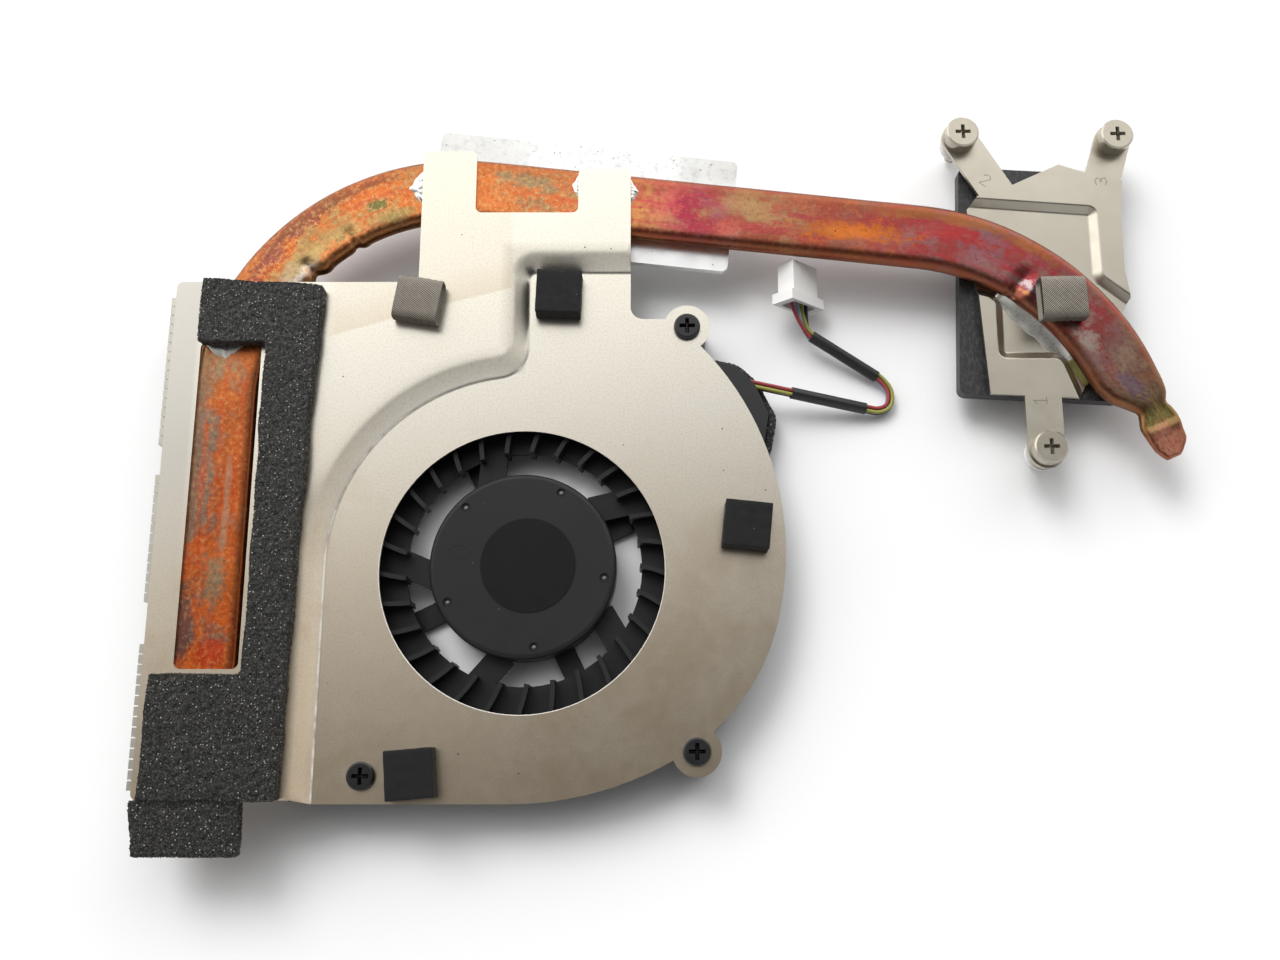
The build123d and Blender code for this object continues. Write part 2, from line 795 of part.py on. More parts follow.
# Captive screws: cheese heads on the arms, with a retaining washer in a groove of each shank
head_top = rim_top + head_h
washer_top = rim_under - screw_travel
washer_low = washer_top - washer_t
groove_low = washer_low - groove_clearance
land_low = groove_low - washer_t
for number, (x, y) in enumerate(arm_screws, start=1):
    screw_plane = Plane(origin=(x, y, 0), x_dir=(1, 0, 0), z_dir=(0, -1, 0))
    with BuildPart() as captive_screw:
        with BuildSketch(screw_plane):
            with BuildLine():
                Polyline(
                    (0, head_top),
                    (head_r - head_edge, head_top),
                    (head_r, head_top - head_edge),
                    (head_r, rim_top),
                    (shank_r, rim_top),
                    (shank_r, washer_top + groove_clearance),
                    (groove_r, washer_top + groove_clearance),
                    (groove_r, groove_low),
                    (shank_r, groove_low),
                    (shank_r, land_low),
                    (thread_r, land_low),
                    (thread_r, land_low - thread_length),
                    (0, land_low - thread_length),
                    close=True,
                )
            make_face()
        revolve(axis=Axis((x, y, 0), (0, 0, 1)))
        with BuildSketch(place_at((x, y), head_top)):
            add(recess_plan.sketch)
        extrude(amount=-recess_depth, taper=recess_taper, mode=Mode.SUBTRACT)
    captive_screw.part.label = f"captive_screw_{number}"
    export_step(captive_screw.part, f"parts/captive_screw_{number}.step")

    with BuildPart() as retaining_washer:
        with BuildSketch(place_at((x, y), washer_low)):
            Circle(washer_r)
            Circle(groove_r + groove_clearance, mode=Mode.SUBTRACT)
        extrude(amount=washer_t)
    retaining_washer.part.label = f"retaining_washer_{number}"
    export_step(retaining_washer.part, f"parts/retaining_washer_{number}.step")

# Cover screws: three alike, through the cover into the housing's bosses
with BuildPart() as cover_screw:
    with BuildSketch(Plane.XY.offset(low_top)):
        Circle(cover_head_r)
    extrude(amount=cover_head_h)
    fillet(cover_screw.edges().group_by(Axis.Z)[-1], cover_head_edge)
    with BuildSketch(Plane.XY.offset(low_top)):
        Circle(cover_thread_r)
    extrude(amount=-cover_thread_length)
    with BuildSketch(Plane.XY.offset(low_top + cover_head_h)):
        add(recess_plan.sketch)
    extrude(amount=-recess_depth, taper=recess_taper, mode=Mode.SUBTRACT)

with BuildPart() as cover_screws:
    with Locations(*cover_screw_points):
        add(cover_screw.part)
cover_screws.part.label = "cover_screws"
export_step(cover_screws.part, "parts/cover_screws.step")

# Foam gasket round the window of the cover, with a tail that drops onto the pipe's end
with BuildPart() as foam_gasket:
    with BuildSketch(Plane.XY.offset(raised_top)):
        with BuildLine():
            Polyline(
                (foam_right, foam_back),
                (foam_top_left, foam_back),
                (foam_top_left, window_back - foam_lip),
                (foam_bar_left, window_back - foam_lip),
                (foam_bar_left, window_front - foam_lip),
                (foam_left, window_front - foam_lip),
                (foam_left, raised_front),
                (foam_right, raised_front),
                close=True,
            )
        make_face()
    extrude(amount=foam_t)
    with BuildSketch(Plane.XY.offset(raised_under)):
        with Locations((foam_tail_left, raised_front)):
            Rectangle(
                foam_tail_right - foam_tail_left,
                raised_front - foam_tail_front,
                align=(Align.MIN, Align.MAX),
            )
    extrude(amount=foam_t)
foam_gasket.part.label = "foam_gasket"
export_step(foam_gasket.part, "parts/foam_gasket.step")

# Rubber pads on the low part of the cover
for number, (point, turn) in enumerate(zip(pad_points, pad_turns), start=1):
    with BuildPart() as rubber_pad:
        with BuildSketch(place_at(point, low_top)):
            Rectangle(pad_size, pad_size, rotation=turn)
        extrude(amount=pad_t)
    rubber_pad.part.label = f"rubber_pad_{number}"
    export_step(rubber_pad.part, f"parts/rubber_pad_{number}.step")

# Conductive fabric gaskets: one on the raised cover, one on the pipe over the tray
fabric_places = (
    (fabric_cover_point, fabric_cover_turn, raised_top),
    (from_run_end(fabric_pipe_point), fabric_pipe_turn, pipe_under + pipe_t),
)
for number, (point, turn, level) in enumerate(fabric_places, start=1):
    with BuildPart() as fabric_gasket:
        with BuildSketch(place_at(point, level)):
            Rectangle(fabric_size, fabric_size, rotation=turn)
        extrude(amount=fabric_t)
    fabric_gasket.part.label = f"fabric_gasket_{number}"
    export_step(fabric_gasket.part, f"parts/fabric_gasket_{number}.step")

# Plug: white connector housing on the table, rolled onto its edge, with four crimp contacts
plug_way = Vector(0, cos(radians(plug_pitch_down)), -sin(radians(plug_pitch_down)))
plug_up = Vector(0, sin(radians(plug_pitch_down)), cos(radians(plug_pitch_down)))
plug_side = Vector(1, 0, 0) * cos(radians(plug_roll)) - plug_up * sin(radians(plug_roll))
plug_plane = Plane(origin=plug_seat, x_dir=plug_side, z_dir=plug_way)
with BuildPart() as plug:
    with BuildSketch(plug_plane):
        Rectangle(plug_flange_w, plug_flange_d)
    extrude(amount=plug_flange_t)
    with BuildSketch(plug_plane):
        Rectangle(plug_w, plug_d)
    extrude(amount=plug_length)
    with BuildSketch(plug_plane):
        Rectangle(plug_w - 2 * plug_edge, plug_d - 2 * plug_edge)
    extrude(amount=plug_pocket_depth, mode=Mode.SUBTRACT)
    with BuildSketch(plug_plane.offset(plug_pocket_depth)):
        with GridLocations(contact_spacing, 0, wire_count, 1):
            Rectangle(contact_side, contact_side)
    extrude(amount=plug_length, mode=Mode.SUBTRACT)
plug.part.label = "plug"
export_step(plug.part, "parts/plug.step")

with BuildPart() as plug_contacts:
    with BuildSketch(plug_plane.offset(plug_pocket_depth)):
        with GridLocations(contact_spacing, 0, wire_count, 1):
            Rectangle(contact_side, contact_side)
    extrude(amount=contact_depth)
plug_contacts.part.label = "plug_contacts"
export_step(plug_contacts.part, "parts/plug_contacts.step")


def wire_points(side, lift, seat):
    """Route of one wire: the bundle's route moved sideways and up, then spread to its contact."""
    centres = [Vector(*point) for point in route]
    runs = [(far - near).normalized() for near, far in zip(centres, centres[1:])]
    lefts = [Vector(-run.Y, run.X, 0).normalized() for run in runs]
    points = []
    for centre, before, after in zip(centres, lefts[:1] + lefts, lefts + lefts[-1:]):
        middle = (before + after).normalized()
        aside = middle * (side * wire_spacing / 2 / middle.dot(after))
        points.append(centre + aside + Vector(0, 0, lift * wire_spacing / 2))
    return points + [seat - plug_way * plug_lead, seat]


def tube_radii(points):
    """Bend radii of a wire: as large as the two runs beside each corner allow."""
    radii = []
    for near, corner, far in zip(points, points[1:], points[2:]):
        turn = radians((corner - near).get_angle(far - corner))
        run = min((corner - near).length, (far - corner).length)
        radii.append(run_share * run / tan(turn / 2))
    return radii


# Wires: inner pair on the left of the route and outer pair on its right, one above the other
for place, (colour, side, lift) in enumerate(wires):
    aside = (place - (wire_count - 1) / 2) * contact_spacing
    seat = plug_plane.from_local_coords(Vector(aside, 0, plug_pocket_depth))
    points = wire_points(side, lift, seat)
    radii = tube_radii(points)
    print(colour, "bend radii", [round(radius, 1) for radius in radii])
    with BuildPart() as wire:
        with BuildLine() as wire_line:
            FilletPolyline(*points, radius=radii)
        with BuildSketch(Plane(origin=wire_line.line @ 0, z_dir=wire_line.line % 0)):
            Circle(wire_d / 2)
        sweep(path=wire_line.line)
    length = wire_line.wire().length
    share = wire.part.volume / (length * pi * wire_d**2 / 4)
    print(colour, "length", round(length, 1), "volume over section times length", round(share, 4))
    wire.part.label = f"wire_{colour}"
    export_step(wire.part, f"parts/wire_{colour}.step")

# Heat-shrink sleeves on the two straight stretches of the cable
sleeve_bore = hypot(wire_spacing, wire_spacing) / 2 + wire_d / 2 + sleeve_gap
for number, (run, share) in enumerate(sleeve_places, start=1):
    near = Vector(*route[run])
    far = Vector(*route[run + 1])
    way = (far - near).normalized()
    begin = near + (far - near) * share - way * (sleeve_length / 2)
    with BuildPart() as sleeve:
        with BuildSketch(Plane(origin=begin, z_dir=way)):
            Circle(sleeve_bore + sleeve_t)
            Circle(sleeve_bore, mode=Mode.SUBTRACT)
        extrude(amount=sleeve_length)
    sleeve.part.label = f"sleeve_{number}"
    export_step(sleeve.part, f"parts/sleeve_{number}.step")
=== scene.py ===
from math import atan2, cos, exp, hypot, pi, radians, sin

import bmesh
import bpy
from mathutils import Matrix, Vector, noise


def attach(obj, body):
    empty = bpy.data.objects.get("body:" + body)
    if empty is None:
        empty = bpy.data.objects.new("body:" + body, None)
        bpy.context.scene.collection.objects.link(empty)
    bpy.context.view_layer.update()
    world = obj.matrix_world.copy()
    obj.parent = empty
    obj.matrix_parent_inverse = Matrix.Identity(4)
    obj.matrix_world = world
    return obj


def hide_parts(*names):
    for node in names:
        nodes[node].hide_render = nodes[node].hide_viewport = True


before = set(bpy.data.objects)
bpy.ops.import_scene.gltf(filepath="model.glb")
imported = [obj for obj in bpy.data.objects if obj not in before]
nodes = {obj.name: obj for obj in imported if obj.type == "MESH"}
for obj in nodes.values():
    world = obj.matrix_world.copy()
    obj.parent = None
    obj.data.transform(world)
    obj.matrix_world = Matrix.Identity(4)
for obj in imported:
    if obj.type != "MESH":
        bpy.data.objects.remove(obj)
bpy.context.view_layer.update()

# Table, light and camera: a white table with a broad lamp behind and to the left of the object.
# The room is bright behind and low down all round, and dark above the camera, which the plated
# sheet mirrors. What the camera sees of the room itself is plain white.
MM = 0.001
BEHIND = Vector((-0.25, 0.97, 0.0))
# Brightness of the room from in front (0) to behind (1), and of its walls from level (0) up (1)
ROOM = (
    (0.0, 0.12), (0.3, 0.1), (0.42, 0.05), (0.49, 0.085), (0.53, 0.26), (0.58, 0.46),
    (0.63, 0.84), (0.68, 1.4), (0.74, 1.65), (0.85, 1.65), (1.0, 1.1),
)
WALLS = ((0.0, 0.85), (0.3, 0.8), (0.55, 0.55), (0.72, 0.25), (0.86, 0.03), (0.92, 0.0))
AMBIENT = 1.4
LAMP_WAY = Vector((-0.36, 0.6, 0.72))
LAMP_STRENGTH = 1.4
LAMP_SPREAD = radians(28)
CAMERA_AT = (18.0, -28.8, 189.2)
CAMERA_TILT = radians(13.04)
LENS = 33.75
SENSOR = 36
NEAREST = 0.01
scene = bpy.context.scene
scene.view_settings.view_transform = "Standard"


def placed(name, data, **settings):
    """A new object in the scene, with settings of its data."""
    for key, value in settings.items():
        setattr(data, key, value)
    made = bpy.data.objects.new(name, data)
    scene.collection.objects.link(made)
    return made


def new_material(name):
    """An empty node material with its shader: (material, node tree, shader node)."""
    material = bpy.data.materials.new(name)
    material.use_nodes = True
    return material, material.node_tree, material.node_tree.nodes["Principled BSDF"]


def rgba(colour):
    """A colour with its alpha; a plain number is a grey."""
    return (colour, colour, colour, 1) if isinstance(colour, (int, float)) else (*colour, 1)


def fill(made, inputs):
    """Sets or links inputs of a node."""
    for key, value in inputs.items():
        socket = made.inputs[key]
        if isinstance(value, bpy.types.NodeSocket):
            made.id_data.links.new(value, socket)
        elif socket.type == "RGBA":
            socket.default_value = rgba(value)
        else:
            socket.default_value = value


def node(tree, kind, inputs=None, **settings):
    """The outputs of a new node with its settings and inputs."""
    made = tree.nodes.new(kind)
    for key, value in settings.items():
        setattr(made, key, value)
    fill(made, inputs or {})
    return made.outputs


def math(operation, a, b=0.0, clamp=False):
    """The output of a Math node in the tree that its values come from."""
    tree = (a if isinstance(a, bpy.types.NodeSocket) else b).id_data
    return node(tree, "ShaderNodeMath", {0: a, 1: b}, operation=operation, use_clamp=clamp)[0]


def plus(a, b):
    """The sum of two values."""
    return math("ADD", a, b)


def times(a, b):
    """The product of two values."""
    return math("MULTIPLY", a, b)


def vector_math(operation, a, b=(0, 0, 0)):
    """The outputs of a Vector Math node."""
    return node(a.id_data, "ShaderNodeVectorMath", {0: a, 1: b}, operation=operation)


def ramp(value, *stops):
    """The colour output of a ramp with (place, colour) stops."""
    made = value.id_data.nodes.new("ShaderNodeValToRGB")
    fill(made, {"Fac": value})
    elements = made.color_ramp.elements
    while len(elements) < len(stops):
        elements.new(0.5)
    for element, (place, colour) in zip(elements, stops):
        element.position = place
        element.color = rgba(colour)
    return made.outputs["Color"]


def dress(shader, colour, roughness, metallic=0.0, gloss=0.5):
    """Gives a shader its colour, roughness, share of metal and specular level."""
    inputs = {"Base Color": colour, "Roughness": roughness, "Metallic": metallic}
    fill(shader, {**inputs, "Specular IOR Level": gloss})


table_mesh = bpy.data.meshes.new("table")
table_mesh.from_pydata([(-1, -1, 0), (1, -1, 0), (1, 1, 0), (-1, 1, 0)], [], [(0, 1, 2, 3)])
table = placed("table", table_mesh)
table.location.z = -0.05 * MM
table_white, tree, shader = new_material("table_white")
dress(shader, 0.9, 0.9, gloss=0.1)
table_mesh.materials.append(table_white)

world = bpy.data.worlds.new("room")
scene.world = world
world.use_nodes = True
tree = world.node_tree
tree.nodes.clear()
towards = node(tree, "ShaderNodeTexCoord")["Generated"]
facing = vector_math("DOT_PRODUCT", towards, BEHIND)["Value"]
height = node(tree, "ShaderNodeSeparateXYZ", {0: towards})[2]
overhead = ramp(plus(times(facing, 0.5), 0.5), *ROOM)
tone = plus(overhead, ramp(height, *WALLS))
path = node(tree, "ShaderNodeLightPath")
bounced = math("MAXIMUM", path["Is Glossy Ray"], path["Is Transmission Ray"])
seen = math("MAXIMUM", path["Is Camera Ray"], bounced)
mirrored = node(tree, "ShaderNodeBackground", {"Color": tone, "Strength": 1.0})[0]
ambient = node(tree, "ShaderNodeBackground", {"Color": overhead, "Strength": AMBIENT})[0]
white = node(tree, "ShaderNodeBackground", {"Color": 1, "Strength": 1.0})[0]
room = node(tree, "ShaderNodeMixShader", {0: seen, 1: ambient, 2: mirrored})[0]
sky = node(tree, "ShaderNodeMixShader", {0: path["Is Camera Ray"], 1: room, 2: white})[0]
node(tree, "ShaderNodeOutputWorld", {"Surface": sky})

sun = bpy.data.lights.new("window_lamp", "SUN")
lamp = placed("window_lamp", sun, energy=LAMP_STRENGTH, angle=LAMP_SPREAD)
lamp.rotation_euler = (-LAMP_WAY).to_track_quat("-Z", "Y").to_euler()
lamp.visible_glossy = False

view = bpy.data.cameras.new("camera")
camera = placed("camera", view, lens=LENS, sensor_width=SENSOR, clip_start=NEAREST)
camera.location = [part * MM for part in CAMERA_AT]
camera.rotation_euler = (CAMERA_TILT, 0, 0)
scene.camera = camera

# Fan housing: black moulded plastic base with the volute wall, seen through the inlet and at its
# edge. The cover's screws go into its bosses.


def object_place(tree):
    """A point's place on the object, in metres."""
    return node(tree, "ShaderNodeTexCoord")["Object"]


def speckle(tree, scale, detail=2.0, roughness=0.5, place=None):
    """Noise with that many features per metre, from 0 to 1."""
    inputs = {"Scale": scale, "Detail": detail, "Roughness": roughness}
    inputs["Vector"] = place if place else object_place(tree)
    return node(tree, "ShaderNodeTexNoise", inputs)["Fac"]


def dust(tree, spacing, share, size):
    """1 on round specks of that size, in a share of the cells of that width, in mm."""
    inputs = {"Vector": object_place(tree), "Scale": 1 / (spacing * MM)}
    cells = node(tree, "ShaderNodeTexVoronoi", inputs)
    near = math("LESS_THAN", cells["Distance"], size / spacing)
    chance = node(tree, "ShaderNodeSeparateColor", {0: cells["Color"]})[0]
    return times(near, math("LESS_THAN", chance, share))


def blend(share, a, b):
    """Colour a where the share is 0 and b where it is 1."""
    return node(share.id_data, "ShaderNodeMix", {0: share, 6: a, 7: b}, data_type="RGBA")[2]


def grain(shader, height, strength, depth, under=None):
    """Bump on a shader from a height, with the depth in mm, over another normal if one is given."""
    inputs = {"Height": height, "Strength": strength, "Distance": depth * MM}
    if under:
        inputs["Normal"] = under
    fill(shader, {"Normal": node(shader.id_data, "ShaderNodeBump", inputs)["Normal"]})


def paint(names, material):
    """Gives CAD nodes their material."""
    for name in names:
        mesh = nodes[name].data
        mesh.materials.clear()
        mesh.materials.append(material)


def plastic(name, dark, light, roughness, dusty=0.0, gloss=0.5):
    """Moulded plastic: two near tones, a fine grain, a satin shine and some pale dust."""
    material, tree, shader = new_material(name)
    tone = blend(speckle(tree, 75, 3), dark, light)
    if dusty:
        tone = blend(dust(tree, 0.7, dusty, 0.06), tone, 0.2)
    shine = ramp(speckle(tree, 300, 3), (0.3, roughness - 0.08), (0.7, roughness + 0.08))
    dress(shader, tone, shine, gloss=gloss)
    grain(shader, speckle(tree, 2700, 2), 0.25, 0.02)
    return material


black = plastic("housing_plastic", (0.009, 0.009, 0.01), (0.015, 0.015, 0.016), 0.48, 0.01)
paint(["fan_housing"], black)

# Motor and bearing inside the hub: wound stator on a brass bush, board under it, magnet in a steel
# cup. They are pressed and glued together, and hardly show.


def metal(name, colour, roughness, scale=300, metallic=1.0):
    """Plain worked metal with a faint cloud in tone and shine."""
    material, tree, shader = new_material(name)
    darker = tuple(part * 0.82 for part in colour)
    tone = blend(speckle(tree, scale, 3), darker, colour)
    cloud = speckle(tree, scale * 3, 2)
    shine = ramp(cloud, (0.3, roughness - 0.06), (0.7, roughness + 0.06))
    dress(shader, tone, shine, metallic)
    grain(shader, speckle(tree, scale * 8, 2), 0.2, 0.01)
    return material


brass = metal("turned_brass", (0.6, 0.46, 0.22), 0.35)
paint(["rotor_yoke", "shaft", "stator_core"], metal("motor_steel", (0.42, 0.42, 0.42), 0.4))
paint(["bearing_bush", "sleeve_bearing", "plug_contacts"], brass)
paint(["coils"], metal("coil_copper", (0.46, 0.19, 0.09), 0.4))
paint(["magnet_ring"], plastic("bonded_magnet", 0.03, 0.05, 0.6))
paint(["circuit_board"], plastic("board_laminate", (0.02, 0.07, 0.03), (0.03, 0.1, 0.05), 0.5))

# Impeller: one black moulding with a plain dark disc stuck on its hub and an oval mark from the
# mould. Five small steel rivet heads, in pits of the hub, hold it on the motor's cup.
HUB_TOP = 7.0
MARK_AT = (-9.8, 2.0)
MARK_HALF = (1.75, 1.15)
MARK_RISE = 0.07
RIVETS = 5
RIVET_R = 12.7
RIVET_START = -9
RIVET_LEVEL = 6.72
RIVET_HEAD = 0.34
DOME_HEIGHT = 0.45


def quads(work, first, second):
    """Smooth faces between two rings of as many corners."""
    faces = []
    for side in range(len(first)):
        after = (side + 1) % len(first)
        face = work.faces.new((first[side], second[side], second[after], first[after]))
        face.smooth = True
        faces.append(face)
    return faces


def finished(work, name, laid=None):
    """A worked mesh with its faces turned outwards; a way to lay it out also takes it from mm."""
    bmesh.ops.recalc_face_normals(work, faces=work.faces)
    if laid:
        bmesh.ops.transform(work, matrix=Matrix.Scale(MM, 4) @ laid, verts=work.verts)
    mesh = bpy.data.meshes.new(name)
    work.to_mesh(mesh)
    work.free()
    return mesh


def oval_bead(name, centre, half, level, radius):
    """A thin raised line in an oval on a flat face, in mm."""
    around, sides = 64, 8
    work = bmesh.new()
    rings = []
    for step in range(around):
        turn = 2 * pi * step / around
        ring = []
        for side in range(sides):
            swing = 2 * pi * side / sides
            reach = 1 + radius * cos(swing) / max(half)
            x = centre[0] + half[0] * reach * cos(turn)
            y = centre[1] + half[1] * reach * sin(turn)
            z = level + radius * sin(swing) * 0.6
            ring.append(work.verts.new((x * MM, y * MM, z * MM)))
        rings.append(ring)
    for first, second in zip(rings, rings[1:] + rings[:1]):
        quads(work, first, second)
    return finished(work, name)


def scene_piece(name, mesh, materials, body):
    """A finished mesh as an object that rides on a body."""
    piece = placed(name, mesh)
    mesh.materials.clear()
    for material in materials:
        mesh.materials.append(material)
    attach(piece, body)
    return piece


def node_group(name, inputs):
    """A Geometry Nodes tree with geometry in and out and more named inputs: (tree, its inputs)."""
    tree = bpy.data.node_groups.new(name, "GeometryNodeTree")
    tree.interface.new_socket("Geometry", in_out="INPUT", socket_type="NodeSocketGeometry")
    for label, kind in inputs.items():
        tree.interface.new_socket(label, in_out="INPUT", socket_type="NodeSocket" + kind)
    tree.interface.new_socket("Geometry", in_out="OUTPUT", socket_type="NodeSocketGeometry")
    return tree, node(tree, "NodeGroupInput")


def end_group(tree, geometry, material):
    """Ends a tree with real geometry in its material."""
    real = node(tree, "GeometryNodeRealizeInstances", {"Geometry": geometry})[0]
    painted = node(tree, "GeometryNodeSetMaterial", {"Geometry": real, "Material": material})[0]
    node(tree, "NodeGroupOutput", {"Geometry": painted})


def applied(work):
    """The mesh of a working object with its modifier applied; both are then removed."""
    bpy.context.view_layer.update()
    depsgraph = bpy.context.evaluated_depsgraph_get()
    mesh = bpy.data.meshes.new_from_object(work.evaluated_get(depsgraph))
    bpy.data.objects.remove(work)
    return mesh


def grown(mesh, tree, values):
    """The mesh that a tree makes from a mesh and the values of its named inputs."""
    work = placed("work", mesh)
    modifier = work.modifiers.new("grown", "NODES")
    modifier.node_group = tree
    for socket in tree.interface.items_tree:
        if socket.in_out == "INPUT" and socket.name in values:
            modifier[socket.identifier] = values[socket.name]
    return applied(work)


domes, entry = node_group("small_domes", {"Radius": "Float", "Material": "Material"})
ball = node(domes, "GeometryNodeMeshIcoSphere", {"Radius": entry["Radius"], "Subdivisions": 2})[0]
flatter = node(domes, "GeometryNodeTransform", {"Geometry": ball, "Scale": (1, 1, DOME_HEIGHT)})[0]
at_spots = {"Points": entry["Geometry"], "Instance": flatter}
end_group(domes, node(domes, "GeometryNodeInstanceOnPoints", at_spots)[0], entry["Material"])


def dotted(name, spots, radius, material):
    """A mesh of small domes of a radius in mm, at spots in metres."""
    mesh = bpy.data.meshes.new(name)
    mesh.from_pydata(spots, [], [])
    return grown(mesh, domes, {"Radius": radius * MM, "Material": material})


impeller_black = plastic(
    "impeller_plastic", (0.0085, 0.0085, 0.009), (0.0135, 0.0135, 0.014), 0.5, 0.012, 0.36
)
paint(["impeller"], impeller_black)
film = plastic("label_film", (0.004, 0.004, 0.0042), (0.006, 0.006, 0.0064), 0.45, 0.006, 0.22)
paint(["hub_label"], film)
mould_mark = oval_bead("mould_mark", MARK_AT, MARK_HALF, HUB_TOP, MARK_RISE)
scene_piece("mould_mark", mould_mark, [impeller_black], "rotor")
rivet_steel = metal("rivet_steel", (0.22, 0.215, 0.205), 0.42)
turns = [radians(RIVET_START + 360 / RIVETS * step) for step in range(RIVETS)]
spots = [(RIVET_R * cos(a) * MM, RIVET_R * sin(a) * MM, RIVET_LEVEL * MM) for a in turns]
rivet_heads = dotted("rivet_places", spots, RIVET_HEAD, rivet_steel)
scene_piece("rivet_heads", rivet_heads, [rivet_steel], "rotor")

# Fin stack: thin plated fins in the fan's outlet, folded from strip so that they stand on their
# own edges. They are soldered under the pipe.
paint(["fin_stack"], metal("fin_metal", (0.6, 0.57, 0.5), 0.42))

# Heat pipe: copper tube pressed flat and bent twice, tinted by the soldering heat, with a pinched
# end. Its inner edge has two notches in the first bend, and it has a dent in the second.
PIPE_HALF = 5.425
PIPE_T = 3.0
PIPE_LEVEL = 8.0
PIPE_START = (-47.3, -42.2)
FIRST_R, FIRST_TURN = 36.2, 96.3
SECOND_R, SECOND_TURN = 37.9, 59.7
# Length of each run, and its turn in degrees
PIPE_RUNS = (
    (67.7, 0),
    (FIRST_R * radians(FIRST_TURN), -FIRST_TURN),
    (70.9, 0),
    (SECOND_R * radians(SECOND_TURN), -SECOND_TURN),
    (16.4, 0),
)
PIPE_LENGTH = sum(length for length, turn in PIPE_RUNS)
TIP_START = PIPE_LENGTH - PIPE_RUNS[-1][0]
STATION = 0.55
ROUND_SHARE = 0.62
# The blunt start: its length, and how much narrower and thinner it ends
START_LENGTH, START_NARROWS, START_THINS = 1.6, 0.9, 1.2
# Past the second bend: distance, reach to the inner and to the outer side, thickness
TIP = (
    (0.0, 5.42, 5.42, 3.0), (2.0, 5.25, 5.35, 2.95), (4.6, 4.1, 5.2, 2.8), (6.4, 2.3, 4.9, 2.5),
    (8.0, 0.9, 3.9, 2.2), (9.0, 1.3, 4.4, 1.9), (10.6, 1.9, 4.7, 1.5), (14.4, 1.5, 4.1, 1.2),
    (15.7, 0.9, 2.9, 1.15), (16.4, 0.4, 1.9, 1.1),
)
# Notches in the inner edge: distance, depth, half width
NOTCHES = ((94.9, 0.75, 0.9), (97.4, -0.25, 0.9), (104.1, 0.5, 0.7), (105.8, -0.2, 0.7))
NOTCH_SINK = 0.7
CREASE_AT, CREASE_HALF, CREASE_RISE = 250.6, 0.5, 0.2
# Dent in the inner side, with a ridge thrown up past it
DENT_AT, DENT_HALF, DENT_PUSH, DENT_SINK = 217.6, 1.15, 0.4, 0.8
RIDGE_PAST, RIDGE_HALF, RIDGE_RISE = 2.2, 1.0, 0.3
PIPE_WAVE = 0.09
# Tints along the pipe: distance, colour
MAIN_TINTS = (
    (0, 0.4, 0.085, 0.016), (30, 0.58, 0.11, 0.016), (50, 0.46, 0.085, 0.018),
    (70, 0.42, 0.105, 0.028), (80, 0.46, 0.12, 0.035), (100, 0.64, 0.17, 0.042),
    (140, 0.6, 0.16, 0.045), (152, 0.52, 0.17, 0.07), (160, 0.38, 0.036, 0.072),
    (172, 0.29, 0.075, 0.048), (181, 0.31, 0.065, 0.042), (197, 0.31, 0.05, 0.048),
    (212, 0.27, 0.052, 0.045), (228, 0.24, 0.04, 0.052), (238, 0.2, 0.065, 0.042),
    (245, 0.25, 0.165, 0.1), (247, 0.06, 0.04, 0.02), (247.8, 0.32, 0.29, 0.09),
    (250.2, 0.32, 0.24, 0.08), (250.7, 0.52, 0.21, 0.14), (255, 0.44, 0.16, 0.09),
)
PATCH_TINTS = (
    (0, 0.17, 0.115, 0.075), (66, 0.22, 0.165, 0.12), (84, 0.4, 0.27, 0.11),
    (112, 0.44, 0.27, 0.1), (140, 0.3, 0.23, 0.12), (154, 0.62, 0.31, 0.09),
    (164, 0.34, 0.07, 0.13), (174, 0.38, 0.23, 0.12), (186, 0.28, 0.1, 0.07),
    (200, 0.25, 0.115, 0.13), (215, 0.24, 0.12, 0.11), (230, 0.25, 0.16, 0.13),
    (245, 0.28, 0.2, 0.125), (247, 0.08, 0.06, 0.03), (247.8, 0.38, 0.36, 0.13),
    (250.2, 0.38, 0.3, 0.12), (250.7, 0.5, 0.22, 0.15),
)
RED_TINTS = (
    (0, 0.46, 0.055, 0.014), (60, 0.5, 0.075, 0.02), (90, 0.55, 0.12, 0.05),
    (140, 0.6, 0.13, 0.04), (160, 0.48, 0.035, 0.08), (185, 0.34, 0.04, 0.05),
    (205, 0.38, 0.032, 0.045), (232, 0.28, 0.026, 0.045), (245, 0.22, 0.06, 0.05),
    (247.8, 0.36, 0.26, 0.08), (250.7, 0.54, 0.2, 0.13),
)
GLOW_TINTS = (
    (0, 0.68, 0.15, 0.014), (60, 0.52, 0.12, 0.026), (100, 0.7, 0.22, 0.065),
    (140, 0.66, 0.19, 0.05), (156, 0.6, 0.12, 0.11), (176, 0.42, 0.1, 0.06),
    (195, 0.4, 0.12, 0.05), (204, 0.26, 0.1, 0.12), (232, 0.22, 0.11, 0.12),
    (245, 0.2, 0.12, 0.09), (247.8, 0.34, 0.3, 0.1), (250.7, 0.56, 0.24, 0.16),
)
